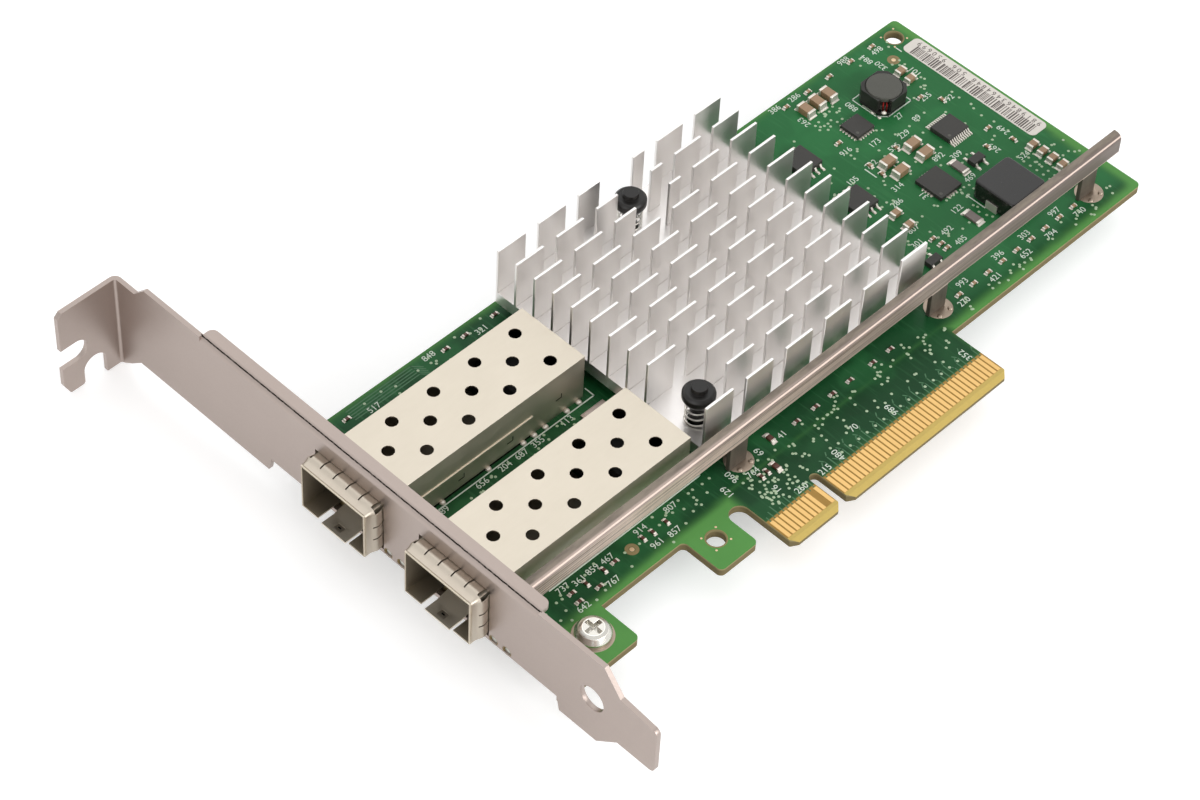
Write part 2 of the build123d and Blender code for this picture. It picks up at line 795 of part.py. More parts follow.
def drum_inductor_base():
    """Square base with cut corners that carries the drum core."""
    x, y = far((drum_dx, drum_dy))
    base = chip(x, y, drum_base, drum_base, drum_clip_thk, drum_base_thk)
    return chamfer(nearest_edges(base, Axis.Z, corners(x, y, drum_base, drum_base)), drum_base_cut)


def drum_inductor_shield():
    """Square ferrite ring round the drum, open at one corner for the wire ends."""
    x, y = far((drum_dx, drum_dy))
    corner = (drum_base - drum_notch) / 2
    shield = chip(x, y, drum_base, drum_base, drum_base_thk, drum_high - drum_shield_drop)
    shield = chamfer(nearest_edges(shield, Axis.Z, corners(x, y, drum_base, drum_base)), drum_base_cut)
    shield -= post(x, y, drum_r + drum_shield_gap, drum_base_thk, drum_high)
    return shield - chip(x - corner, y - corner, drum_notch, drum_notch, drum_base_thk, drum_high)


def drum_inductor_terminals():
    """Two flat metal terminals under the base, soldered to the board."""
    x, y = far((drum_dx, drum_dy))
    reach = drum_base / 2
    clips = []
    for side in (-1, 1):
        clips.append(chip(x + side * (reach - drum_clip / 2), y, drum_clip, drum_clip * 2, 0, drum_clip_thk))
    return clips


def drum_inductor_core():
    """Ferrite drum with two flanges and a waist for the winding."""
    low = drum_base_thk
    profile = [
        (0, low), (drum_r, low), (drum_r, low + drum_flange), (drum_core_r, low + drum_flange),
        (drum_core_r, drum_high - drum_flange), (drum_r, drum_high - drum_flange),
        (drum_r, drum_high - drum_edge), (drum_r - drum_edge, drum_high), (0, drum_high),
    ]
    return turned(profile, *far((drum_dx, drum_dy)))


def drum_inductor_winding():
    """Enamelled wire wound in the drum's waist."""
    x, y = far((drum_dx, drum_dy))
    levels = (drum_base_thk + drum_flange, drum_high - drum_flange)
    return post(x, y, drum_r - drum_wire_inset, *levels) - post(x, y, drum_core_r, *levels)


def power_inductor():
    """Moulded block inductor with softened edges."""
    x, y = far((block_dx, block_dy))
    body = chip(x, y, block_x, block_y, block_lift, block_high)
    body = fillet(body.edges().filter_by(Axis.Z), block_corner)
    return chamfer(body.faces().sort_by(Axis.Z)[-1].edges(), block_edge)


def power_inductor_terminals():
    """Bent metal terminals under two sides of the block inductor."""
    x, y = far((block_dx, block_dy))
    clips = []
    for side in (-1, 1):
        edge = x + side * block_x / 2
        foot = chip(edge - side * block_clip_foot / 2, y, block_clip_foot, block_clip, 0, block_lift)
        wall = chip(edge + side * block_clip_thk / 2, y, block_clip_thk, block_clip, 0, block_clip_high)
        clips.append(foot + wall)
    return clips


def identification_label():
    """Strip label with rounded corners, along the far end of the board."""
    x1 = board_right - label_inset
    y1 = board_top - label_dy
    label = block(x1 - label_width, x1, y1 - label_length, y1, 0, label_thk)
    return fillet(label.edges().filter_by(Axis.Z), label_corner)


def chip_body(size, place, lift):
    """A chip's moulded body, raised a little off the board."""
    return chip(*place, size[0], size[1], lift, size[2])


def flat_leads(size, place, count):
    """The metal lands of a leadless chip, just proud of its lower edge on all four sides."""
    x, y = place
    leads = []
    for k in range(count):
        across = (k - (count - 1) / 2) * flat_lead_pitch
        for side in (-1, 1):
            edge_x = x + side * (size[0] + flat_lead_out) / 2
            edge_y = y + side * (size[1] + flat_lead_out) / 2
            leads.append(chip(edge_x, y + across, flat_lead_out, flat_lead_width, 0, lead_thk))
            leads.append(chip(x + across, edge_y, flat_lead_width, flat_lead_out, 0, lead_thk))
    return leads


def bent_leads(size, place, count, spacing, width):
    """Gull-wing legs along the two sides of a chip that face the board's long edges."""
    x, y = place
    legs = []
    for k in range(count):
        middle = x + (k - (count - 1) / 2) * spacing - width / 2
        for side in (-1, 1):
            edge = y + side * size[1] / 2
            out = [(0, lead_lift), (0, lead_lift + lead_thk), (lead_reach - lead_foot, lead_thk),
                   (lead_reach, lead_thk), (lead_reach, 0), (lead_reach - lead_foot - lead_thk, 0)]
            points = [(edge + side * u, v) for u, v in out]
            legs.append(plate(points, Plane.YZ.offset(middle), width))
    return legs


def legs_of(size, places, count, spacing):
    """The legs of several like chips, as one list."""
    legs = []
    for place in places:
        legs += bent_leads(size, place, count, spacing, wide_lead_width)
    return legs


def two_ended(kind, place, turn):
    """The body and the two metal ends of a chip capacitor, resistor or fuse."""
    length, width, height, end = kind
    where = Pos(place[0], place[1], height / 2) * Rot(Z=turn)
    body = where * Box(length - 2 * end, width, height)
    ends = [where * Pos(side * (length - end) / 2, 0, 0) * Box(end, width, height) for side in (-1, 1)]
    return body, ends


def small_part(kind, place, turn):
    """One of the smallest parts, its body and ends in one piece."""
    length, width, height = kind
    return Pos(place[0], place[1], height / 2) * Rot(Z=turn) * Box(length, width, height)


def save_two_ended(name, items):
    """Writes the bodies of some chip parts as one sub-part and their metal ends as another."""
    bodies = []
    ends = []
    for kind, place, turn in items:
        body, caps = two_ended(kind, place, turn)
        bodies.append(body)
        ends += caps
    save(name, bodies)
    save(f"{name}_ends", ends)


def large_capacitor_items():
    """The tall ceramic capacitors by the two regulators and at the board's far end."""
    dx, dy = top_capacitor_at
    items = []
    for k in range(top_capacitor_count):
        items.append((large_capacitor, far((dx - k * top_capacitor_step, dy)), 90))
    dx, dy = pair_capacitor_at
    for i in (0, 1):
        for j in (0, 1):
            place = far((dx - i * pair_capacitor_step[0], dy + j * pair_capacitor_step[1]))
            items.append((large_capacitor, place, 0))
    return items


def medium_capacitor_items():
    """The middle-sized ceramic capacitors of the power section."""
    dx, dy = end_capacitor_at
    items = []
    for k in range(end_capacitor_count):
        items.append((medium_capacitor, far((dx, dy + k * end_capacitor_step)), 0))
    for place in medium_capacitor_at:
        items.append((medium_capacitor, far(place), 0))
    return items


def small_part_items():
    """The smallest capacitors and resistors, over the whole board."""
    items = []
    for k in range(top_row_count):
        items.append((small_capacitor, far((top_row_dx + k * top_row_step, top_row_dy)), 0))
    for k in range(low_row_count):
        items.append((small_capacitor, (low_row_from + k * low_row_step, low_row_y), 0))
    for dx, dy, turn in power_small_at:
        items.append((small_capacitor, far((dx, dy)), turn))
    for x in rim_small_x:
        items.append((small_resistor, (x, board_top - rim_small_dy), 0))
    for x, y, turn in low_small_at:
        items.append((small_resistor, (x, y), turn))
    return items


def crystal():
    """Clock crystal: ceramic foot under a metal lid, between the two cages."""
    x = cage_back - crystal_from_back
    length, width, height = crystal_size
    foot = chip(x, crystal_y, length, width, 0, height - crystal_foot)
    inset = 2 * crystal_lid_inset
    return foot + chip(x, crystal_y, length - inset, width - inset, height - crystal_foot, height)


def save(name, shapes):
    """Writes one sub-part, which may be several separate solids."""
    if isinstance(shapes, list):
        shapes = Compound(children=shapes) if len(shapes) > 1 else shapes[0]
    export_step(shapes, f"parts/{name}.step")


os.makedirs("parts", exist_ok=True)
save("circuit_board", circuit_board())
save("edge_contacts", edge_contacts())
save("bracket", bracket())
save("bracket_screw", bracket_screw())
save("status_lights", status_lights())
for number, y in enumerate(ports, start=1):
    save(f"port_cage_{number}", port_cage(y))
    save(f"spring_collar_{number}", spring_collar(y))
    save(f"port_connector_{number}", port_connector(y))
    save(f"port_contacts_{number}", port_contacts(y))
save("controller_chip", controller_chip())
save("thermal_pad", thermal_pad())
save("heat_sink", heat_sink())
save("push_pins", push_pins())
save("push_pin_springs", push_pin_springs())
save("stiffening_rail", stiffening_rail())
save("drum_inductor_base", drum_inductor_base())
save("drum_inductor_shield", drum_inductor_shield())
save("drum_inductor_terminals", drum_inductor_terminals())
save("drum_inductor_core", drum_inductor_core())
save("drum_inductor_winding", drum_inductor_winding())
save("power_inductor", power_inductor())
save("power_inductor_terminals", power_inductor_terminals())
save("power_controller", chip_body(controller_size, far(controller_at), chip_clear))
save("power_controller_leads", flat_leads(controller_size, far(controller_at), controller_lead_count))
save("power_stage", chip_body(stage_size, far(stage_at), chip_clear))
save("power_stage_leads", flat_leads(stage_size, far(stage_at), stage_lead_count))
save("logic_chip", chip_body(logic_size, far(logic_at), chip_clear))
save("logic_chip_leads", bent_leads(logic_size, far(logic_at), logic_lead_count, lead_pitch, lead_width))
transistors_at = [far(transistor_at), far(driver_at)]
save("transistors", [chip_body(transistor_size, place, chip_clear) for place in transistors_at])
save("transistor_leads", legs_of(transistor_size, transistors_at, transistor_lead_count, transistor_pitch))
memories_at = [(chip_x + memory_dx, chip_y + dy) for dy in memory_dy]
save("memory_chips", [chip_body(memory_size, place, chip_clear) for place in memories_at])
save("memory_chip_leads", legs_of(memory_size, memories_at, memory_lead_count, memory_pitch))
save_two_ended("large_capacitors", large_capacitor_items())
save_two_ended("medium_capacitors", medium_capacitor_items())
save("small_parts", [small_part(*item) for item in small_part_items()])
save_two_ended("large_resistors", [(large_resistor, far(place), 90) for place in large_resistor_at])
save_two_ended("fuses", [(fuse, place, 90) for place in fuse_at])
save("crystal", crystal())
save("identification_label", identification_label())
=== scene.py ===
import math
import random
from functools import cache

import bmesh
import bpy
from bpy.props import FloatProperty, FloatVectorProperty, IntProperty, PointerProperty
from mathutils import Matrix, Vector


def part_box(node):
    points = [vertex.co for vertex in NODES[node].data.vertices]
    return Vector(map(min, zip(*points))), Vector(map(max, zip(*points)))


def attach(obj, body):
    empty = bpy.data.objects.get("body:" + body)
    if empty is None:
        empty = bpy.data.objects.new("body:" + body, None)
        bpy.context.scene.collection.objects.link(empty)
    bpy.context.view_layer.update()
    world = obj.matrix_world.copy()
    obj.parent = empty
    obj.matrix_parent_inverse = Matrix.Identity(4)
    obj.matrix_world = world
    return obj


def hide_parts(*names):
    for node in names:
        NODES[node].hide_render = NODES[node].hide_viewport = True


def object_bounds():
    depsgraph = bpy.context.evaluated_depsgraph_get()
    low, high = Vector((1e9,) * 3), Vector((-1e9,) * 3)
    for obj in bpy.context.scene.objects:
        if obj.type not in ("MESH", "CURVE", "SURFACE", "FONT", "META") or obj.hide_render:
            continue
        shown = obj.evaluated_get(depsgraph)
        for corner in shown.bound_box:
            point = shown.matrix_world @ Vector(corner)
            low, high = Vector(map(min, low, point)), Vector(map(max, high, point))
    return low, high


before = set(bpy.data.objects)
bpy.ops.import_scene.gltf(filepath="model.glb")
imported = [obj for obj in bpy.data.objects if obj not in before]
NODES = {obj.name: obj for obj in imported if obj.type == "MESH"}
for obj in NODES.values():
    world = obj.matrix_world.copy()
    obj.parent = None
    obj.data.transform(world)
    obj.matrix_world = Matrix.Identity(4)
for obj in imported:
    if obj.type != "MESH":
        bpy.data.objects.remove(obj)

bl_info = {
    "name": "Network interface card",
    "version": (1, 0, 0),
    "blender": (4, 5, 0),
    "location": "3D View > Sidebar > Card",
    "description": "Finishes, markings, solder and studio for a network interface card",
    "category": "Object",
}

MM = 0.001
CAD_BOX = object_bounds()
BOARD_LOW, BOARD_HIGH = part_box("circuit_board")
FACE = BOARD_HIGH.z
BRACKET_FACE = -58.4 * MM
RAIL_LOW = 5.3 * MM


# Shader expressions

class Link:
    """A shader value that Python expressions can use."""

    def __init__(self, finish, socket):
        self.finish = finish
        self.socket = socket

    def _math(self, operation, first, second=None):
        inputs = {0: first}
        if second is not None:
            inputs[1] = second
        return self.finish.node("ShaderNodeMath", {"operation": operation}, inputs)

    def __add__(self, other):
        return self._math("ADD", self, other)

    def __sub__(self, other):
        return self._math("SUBTRACT", self, other)

    def __rsub__(self, other):
        return self._math("SUBTRACT", other, self)

    def __mul__(self, other):
        return self._math("MULTIPLY", self, other)

    def __gt__(self, other):
        return self._math("GREATER_THAN", self, other)

    def __lt__(self, other):
        return self._math("LESS_THAN", self, other)

    def __abs__(self):
        return self._math("ABSOLUTE", self)

    def highest(self, other):
        return self._math("MAXIMUM", self, other)

    __radd__ = __add__
    __rmul__ = __mul__


class Shading:
    """A node tree and short ways to add nodes to it."""

    def __init__(self, tree):
        self.tree = tree

    def node(self, kind, settings=None, inputs=None, output=0):
        """Adds a node: its settings are set first, then its sockets are filled or linked."""
        made = self.tree.nodes.new(kind)
        for key, value in (settings or {}).items():
            setattr(made, key, value)
        for key, value in (inputs or {}).items():
            self.feed(made.inputs[key], value)
        return Link(self, made.outputs[output])

    def feed(self, socket, value):
        """Links a socket to another, or sets its value."""
        if isinstance(value, Link):
            self.tree.links.new(value.socket, socket)
        else:
            socket.default_value = value

    def place(self):
        """The place on the object, in metres."""
        return self.node("ShaderNodeTexCoord", output="Object")

    def axes(self, vector):
        """The three parts of a vector."""
        return [self.node("ShaderNodeSeparateXYZ", None, {0: vector}, k) for k in range(3)]

    def stretched(self, scale):
        """The place, scaled by its own share along each axis."""
        return self.node("ShaderNodeMapping", None, {"Vector": self.place(), "Scale": scale})

    def noise(self, scale, detail=3.0, roughness=0.5, vector=None):
        """Soft random shading, its scale in cells per metre."""
        vector = self.place() if vector is None else vector
        inputs = {"Vector": vector, "Scale": scale, "Detail": detail, "Roughness": roughness}
        return self.node("ShaderNodeTexNoise", None, inputs, "Fac")

    def mix(self, factor, first, second):
        """One colour over another."""
        first = first if isinstance(first, Link) else shade(first)
        second = second if isinstance(second, Link) else shade(second)
        return self.node("ShaderNodeMix", {"data_type": "RGBA"}, {0: factor, 6: first, 7: second}, 2)

    def step(self, value, start, end):
        """A smooth rise from 0 at start to 1 at end."""
        settings = {"interpolation_type": "SMOOTHSTEP"}
        return self.node("ShaderNodeMapRange", settings, {0: value, 1: start, 2: end})

    def seen(self):
        """1 for rays that come from the camera, from metal or through glass."""
        camera, glossy, through = [self.node("ShaderNodeLightPath", output=name) for name in
                                   ("Is Camera Ray", "Is Glossy Ray", "Is Transmission Ray")]
        return camera.highest(glossy).highest(through)

    def rubbed(self):
        """1 on rounded edges, which carry a painted highlight."""
        return self.node("ShaderNodeAttribute", {"attribute_name": "rubbed"}, None, "Fac")


class Finish(Shading):
    """A material made of a Principled shader and the nodes that feed it."""

    def __init__(self, name, roughness=0.5, metallic=0.0, coat=0.0, gloss=0.25):
        self.material = bpy.data.materials.new(name)
        self.material.use_nodes = True
        super().__init__(self.material.node_tree)
        self.shader = self.tree.nodes["Principled BSDF"]
        self.shader.inputs["Roughness"].default_value = roughness
        self.shader.inputs["Metallic"].default_value = metallic
        self.shader.inputs["Coat Weight"].default_value = coat
        self.shader.inputs["Coat Roughness"].default_value = 0.12
        if not metallic:
            self.shader.inputs["Specular IOR Level"].default_value = gloss

    def put(self, name, value):
        """Fills or links one socket of the shader."""
        self.feed(self.shader.inputs[name], value)

    def bump(self, height, strength, distance):
        """Raises fine relief on the surface."""
        inputs = {"Strength": strength, "Distance": distance, "Height": height}
        self.put("Normal", self.node("ShaderNodeBump", None, inputs, "Normal"))


def shade(colour):
    return (*colour[:3], 1.0)


def tint(colour, factor):
    return tuple(channel * factor for channel in colour[:3])


def settings():
    return bpy.context.scene.card_colours, bpy.context.scene.card_sizes


# Finishes

def solder_mask():
    """Green mask over the laminate: dark over the inner copper, clearer along the board's rim."""
    colours, sizes = settings()
    f = Finish("solder_mask", roughness=0.34, gloss=0.16)
    x, y, z = f.axes(f.place())
    soft = 2.6 * MM

    def inside(x0, x1, y0, y1, blur):
        across = f.step(x, x0, x0 + blur) * (1 - f.step(x, x1 - blur, x1))
        return across * f.step(y, y0, y0 + blur) * (1 - f.step(y, y1 - blur, y1))

    rim = sizes.rim_band
    planes = inside(BOARD_LOW.x - soft, BOARD_HIGH.x - 0.2 * rim, 12.6 * MM, BOARD_HIGH.y + soft * 0.3, soft)
    planes = planes.highest(inside(-13.8 * MM, 40.6 * MM, 4.6 * MM, 16 * MM, soft))
    cloud = f.noise(160, 4)
    patch = f.noise(95, 2, 0.4)
    green = f.mix(planes, colours.rim_green, colours.mask_green)
    pour = f.step(patch, 0.50, 0.60)
    green = f.mix(pour * planes * 0.8, green, colours.pour_green)
    hollow = f.step(f.noise(130, 2, 0.4), 0.52, 0.66)
    green = f.mix(hollow * planes * 0.6, green, tint(colours.mask_green, 0.6))
    runs = f.noise(1, 2, 0.5, f.stretched((1500, 110, 1)))
    green = f.mix(f.step(runs, 0.56, 0.66) * planes * 0.35, green, colours.trace_green)
    green = f.mix(cloud * 0.25, green, tint(colours.mask_green, 0.7))
    shaded = 1 - f.step(y, 12 * MM, 19 * MM)
    green = f.mix(shaded * planes * 0.5, green, tint(colours.mask_green, 0.45))
    far = f.step(x, 38 * MM, 54 * MM) * (1 - shaded)
    green = f.mix(far * planes * 0.5, green, tint(colours.pour_green, 1.6))
    contacts = inside(-13.4 * MM, 40.0 * MM, -2 * MM, 6.2 * MM, 0.25 * MM)
    weave = f.noise(900, 2) * 0.3
    laminate = f.mix(weave, colours.laminate, tint(colours.laminate, 0.7))
    between = f.mix(weave, colours.contact_gap, tint(colours.contact_gap, 0.6))
    laminate = f.mix(f.step(y, 1.5 * MM, 1.7 * MM), laminate, between)
    top = f.mix(contacts, green, laminate)
    up = f.axes(f.node("ShaderNodeNewGeometry", output="Normal"))[2]
    edge = abs(up) < 0.5
    layers = f.noise(1, 3, 0.6, f.stretched((300, 300, 2600)))
    # The cut edge, with a painted highlight along its top.
    side = f.mix(f.step(z, FACE - 0.5 * MM, FACE - 0.1 * MM), colours.board_edge, colours.board_lip)
    side = f.mix(layers * 0.7, side, tint(colours.board_edge, 0.5))
    f.put("Base Color", f.mix(edge, top, side))
    f.put("Roughness", 0.28 + cloud * 0.16 + edge * 0.35)
    f.bump(f.noise(700, 4) + pour * 0.6, 0.12, 0.02 * MM)
    return f.material


def metal(name, colour, roughness, grain_scale, grain, bump, spots, metallic=1.0):
    """Sheet or bar metal: slightly clouded, with a fine grain and painted highlights on its rounded edges."""
    f = Finish(name, roughness=roughness, metallic=metallic)
    fine = f.noise(1, 3, 0.6, f.stretched(grain_scale))
    cloud = f.noise(90, 4, 0.6)
    base = f.mix(cloud * spots, colour, tint(colour, 0.72))
    # Painted highlight on the rounded edges.
    f.put("Base Color", f.mix(f.rubbed(), base, tint(colour, 1.3)))
    f.put("Roughness", roughness - grain / 2 + fine * grain + cloud * 0.08)
    f.bump(fine, bump, 0.01 * MM)
    return f.material


def nickel():
    """Satin plating, with a painted reflection along the bracket's bend: a ragged dark line."""
    colours, _ = settings()
    f = Finish("satin_nickel", roughness=0.36, metallic=1.0)
    fine = f.noise(2600, 2)
    cloud = f.noise(38, 5, 0.6)
    streak = f.noise(1, 3, 0.6, f.stretched((260, 35, 900)))
    base = f.mix(cloud * 0.3 + streak * 0.12, colours.nickel, tint(colours.nickel, 0.76))
    # Painted highlight on the rounded edges.
    base = f.mix(f.rubbed(), base, tint(colours.nickel, 1.35))
    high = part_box("bracket")[1]
    x, y, z = f.axes(f.place())
    # Painted reflection: a ragged dark line along the outer bend of the bracket's lip, darker at pits.
    ragged = f.noise(1, 3, 0.6, f.stretched((1, 900, 1))) * 0.14 * MM
    bend = (x > BRACKET_FACE + 0.46 * MM + ragged) * (x < BRACKET_FACE + 0.66 * MM + ragged)
    bend = bend * (z > high.z - 0.9 * MM) * (y > 10 * MM) * (y < 85.4 * MM)
    pits = f.step(f.noise(1500, 2), 0.4, 0.5)
    f.put("Base Color", f.mix(bend * (0.78 + pits * 0.22), base, tint(colours.nickel, 0.07)))
    f.put("Roughness", 0.3 + fine * 0.1 + cloud * 0.1)
    f.bump(fine + streak * 0.4, 0.08, 0.01 * MM)
    return f.material


def cage_plate():
    """Matte plating, with painted shade inside the cage."""
    colours, _ = settings()
    f = Finish("matte_cage_plate", roughness=0.46, metallic=1.0)
    fine = f.noise(1, 3, 0.6, f.stretched((420, 2200, 2200)))
    cloud = f.noise(90, 4, 0.6)
    base = f.mix(cloud * 0.16, colours.cage, tint(colours.cage, 0.74))
    # Painted highlight on the rounded edges.
    base = f.mix(f.rubbed(), base, tint(colours.cage, 1.2))
    inside = f.node("ShaderNodeAttribute", {"attribute_name": "inside"}, None, "Fac")
    # Painted shade on the inner faces, deepening towards the back of the mouth.
    deep = f.step(f.axes(f.place())[0], BRACKET_FACE - 4.5 * MM, BRACKET_FACE + 1.5 * MM)
    recess_shade = f.mix(deep, colours.cage_inside, tint(colours.cage_inside, 0.6))
    f.put("Base Color", f.mix(inside, base, recess_shade))
    f.put("Roughness", 0.38 + fine * 0.14 + cloud * 0.08)
    f.bump(fine, 0.1, 0.01 * MM)
    return f.material


def aluminium():
    """Extruded aluminium, drawn along its height."""
    colours, _ = settings()
    f = Finish("extruded_aluminium", roughness=0.3, metallic=0.92)
    streak = f.noise(1, 2, 0.5, f.stretched((1500, 1500, 40)))
    broad = f.noise(1, 3, 0.5, f.stretched((420, 420, 40)))
    base = f.mix(streak * 0.08 + broad * 0.14, colours.aluminium, tint(colours.aluminium, 0.72))
    # Painted highlight on the rounded fin edges.
    f.put("Base Color", f.mix(f.rubbed(), base, tint(colours.aluminium, 1.04)))
    f.put("Roughness", 0.27 + streak * 0.08)
    f.bump(streak, 0.06, 0.01 * MM)
    return f.material


def rail_steel():
    """Drawn steel: a top flange painted dark as a reflection, a painted highlight on the bend, a web whose
    painted reflection darkens to the far end, and dark legs.
    """
    colours, _ = settings()
    low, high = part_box("stiffening_rail")
    f = Finish("rail_steel", roughness=0.4, metallic=0.45)
    x, y, z = f.axes(f.place())
    up = f.axes(f.node("ShaderNodeNewGeometry", output="Normal"))[2]
    drawn = f.noise(1, 4, 0.65, f.stretched((20, 2600, 2600)))
    scuffs = f.noise(1, 4, 0.65, f.stretched((900, 200, 120)))
    # Painted reflection: the web is lighter at the bracket's end and darkens towards the far end.
    web = f.mix(f.step(x, -20 * MM, 75 * MM), tint(colours.rail, 1.2), tint(colours.rail, 0.26))
    web = f.mix(f.step(drawn, 0.44, 0.58) * 0.7 + scuffs * 0.25, web, tint(colours.rail, 0.24))
    # A painted dark reflection in a band just below the bend, and a painted highlight along the lower edge.
    web = f.mix(f.step(z, high.z - 1.5 * MM, high.z - 0.6 * MM) * 0.7, web, tint(colours.rail, 0.25))
    web = f.mix((z < RAIL_LOW + 0.22 * MM) * 0.7, web, tint(colours.rail, 1.15))
    # The legs take a darker tone of the top's colour, with scuffs.
    legs = f.mix(scuffs, tint(colours.rail_top, 0.22), tint(colours.rail_top, 0.75))
    web = f.mix(z < RAIL_LOW - 0.05 * MM, web, legs)
    # The top flange, on faces that look up, is painted dark as a reflection, with darker patches.
    top_reflection_patches = f.step(f.noise(1, 3, 0.6, f.stretched((120, 500, 1))), 0.4, 0.65)
    top = f.mix(top_reflection_patches * 0.7, colours.rail_top, tint(colours.rail_top, 0.45))
    base = f.mix(f.step(up, 0.8, 0.95), web, top)
    # Painted highlight along the bend.
    bright = (up > 0.45) * (up < 0.66) * (y < low.y + 0.4 * MM)
    f.put("Base Color", f.mix(bright, base, tint(colours.rail, 1.05)))
    f.put("Roughness", 0.3 + drawn * 0.16 + scuffs * 0.12)
    f.bump(drawn + scuffs * 0.5, 0.2, 0.01 * MM)
    return f.material


def moulding(name, colour, roughness, grain, depth, coat=0.0, gloss=0.3):
    """Moulded plastic, ceramic or rubber with a faint cloud and grain."""
    f = Finish(name, roughness=roughness, coat=coat, gloss=gloss)
    cloud = f.noise(240, 4)
    fine = f.noise(grain, 3, 0.6)
    f.put("Base Color", f.mix(cloud * 0.5 + fine * 0.2, colour, tint(colour, 0.6)))
    f.put("Roughness", roughness - 0.06 + fine * 0.16)
    f.bump(fine, 0.3, depth)
    return f.material


def controller_body():
    """Dark green substrate under a satin metal lid."""
    colours, _ = settings()
    f = Finish("controller_body", roughness=0.4)
    low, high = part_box("controller_chip")
    z = f.axes(f.place())[2]
    lid = z > low.z + 0.56 * (high.z - low.z)
    cloud = f.noise(300, 4)
    base = f.mix(cloud * 0.4, colours.mask_green, tint(colours.mask_green, 0.5))
    f.put("Base Color", f.mix(lid, base, tint(colours.nickel, 0.8)))
    f.put("Metallic", lid)
    f.put("Roughness", 0.35 + cloud * 0.15)
    return f.material


# Metals: colour, roughness, grain scale, grain, bump, clouding and how metallic, where that isn't 1.
METALS = {
    "gold_plate": ("gold", 0.3, (2200, 220, 2200), 0.16, 0.2, 0.25),
    "solder_tin": ("tin", 0.3, (1500, 1500, 1500), 0.2, 0.4, 0.35, 0.6),
    "screw_steel": ("screw", 0.2, (900, 900, 900), 0.12, 0.15, 0.3),
    "spring_steel": ("screw", 0.25, (1500, 1500, 1500), 0.1, 0.1, 0.3),
    "enamelled_wire": ("enamel", 0.3, (500, 500, 3000), 0.1, 0.3, 0.3),
    "dull_land": ("land", 0.4, (900, 900, 900), 0.2, 0.3, 0.5),
    "bare_copper": ("copper", 0.35, (1200, 1200, 1200), 0.1, 0.2, 0.3),
    "collar_plate": ("collar", 0.36, (600, 2000, 2000), 0.14, 0.12, 0.2),
}
# Mouldings: colour and its share, roughness, grain, grain depth in mm, then coat and gloss where they differ.
MOULDINGS = {
    "wound_copper": ("winding", 1, 0.35, 900, 0.02),
    "chip_epoxy": ("epoxy", 1, 0.42, 3800, 0.02),
    "block_epoxy": ("epoxy", 0.3, 0.22, 2600, 0.02, 0.35),
    "ferrite": ("ferrite", 1, 0.5, 3000, 0.04),
    "shield_ferrite": ("ferrite", 0.28, 0.34, 3000, 0.03),
    "black_nylon": ("nylon", 1, 0.34, 900, 0.01, 0.0, 0.4),
    "connector_plastic": ("nylon", 1.2, 0.45, 2400, 0.01),
    "capacitor_ceramic": ("ceramic", 1, 0.34, 2600, 0.015, 0.2),
    "resistor_glaze": ("glaze", 1, 0.3, 2600, 0.01, 0.2),
    "sense_resistor": ("sense", 1, 0.4, 2600, 0.01, 0.2),
    "pad_rubber": ("rubber", 1, 0.7, 1400, 0.03),
    "light_lens": ("lens", 1, 0.2, 900, 0.01, 0.5),
    "silk_ink": ("ink", 1, 0.55, 3200, 0.02),
    "dark_ink": ("dark_ink", 1, 0.6, 3200, 0.01),
    "shadow_gap": ("shadow_gap", 1, 0.8, 1500, 0.01, 0.0, 0.05),
    "bare_ring": ("bare_ring", 1, 0.5, 1500, 0.01),
    "mask_over_copper": ("trace_green", 1, 0.28, 1200, 0.01, 0.3),
    "via_mask": ("via", 1, 0.35, 2400, 0.02, 0.2),
    "label_film": ("label", 1, 0.45, 1800, 0.01),
}
OWN_FINISHES = {
    "solder_mask": solder_mask, "satin_nickel": nickel, "matte_cage_plate": cage_plate,
    "extruded_aluminium": aluminium, "rail_steel": rail_steel, "controller_body": controller_body,
}


@cache
def finish(look):
    """The material of that name, made the first time that it is asked for."""
    colours, _ = settings()
    if look in METALS:
        source, *values = METALS[look]
        return metal(look, getattr(colours, source), *values)
    if look in MOULDINGS:
        source, share, roughness, grain, depth, *shine = MOULDINGS[look]
        return moulding(look, tint(getattr(colours, source), share), roughness, grain, depth * MM, *shine)
    return OWN_FINISHES[look]()


# Making pieces

def linked(name, data):
    """A new object, linked into the scene."""
    made = bpy.data.objects.new(name, data)
    bpy.context.scene.collection.objects.link(made)
    return made


def middle_of(low, high):
    """The middle of a box, across the board."""
    return (low.x + high.x) / 2, (low.y + high.y) / 2


def piece_from(name, mesh, look, smooth=None, replaces=()):
    """Turns a finished bmesh into a piece of the card, with its material."""
    data = bpy.data.meshes.new(name)
    mesh.to_mesh(data)
    mesh.free()
    piece = linked(name, data)
    if smooth is not None:
        data.shade_smooth()
        data.set_sharp_from_angle(angle=math.radians(smooth))
        even = piece.modifiers.new("even_faces", "WEIGHTED_NORMAL")
        even.weight = 100
        even.keep_sharp = True
    data.materials.append(finish(look))
    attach(piece, "root")
    if replaces:
        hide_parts(*replaces)


def paint(look, *nodes):
    """Assigns a material to carried-over parts."""
    for node in nodes:
        data = NODES[node].data
        data.materials.clear()
        data.materials.append(finish(look))


def copied(node):
    """A clean copy of a part's mesh: doubled points joined and flat faces made whole."""
    mesh = bmesh.new()
    mesh.from_mesh(NODES[node].data)
    bmesh.ops.remove_doubles(mesh, verts=mesh.verts, dist=0.002 * MM)
    bmesh.ops.dissolve_limit(mesh, angle_limit=math.radians(0.6), verts=mesh.verts, edges=mesh.edges)
    return mesh


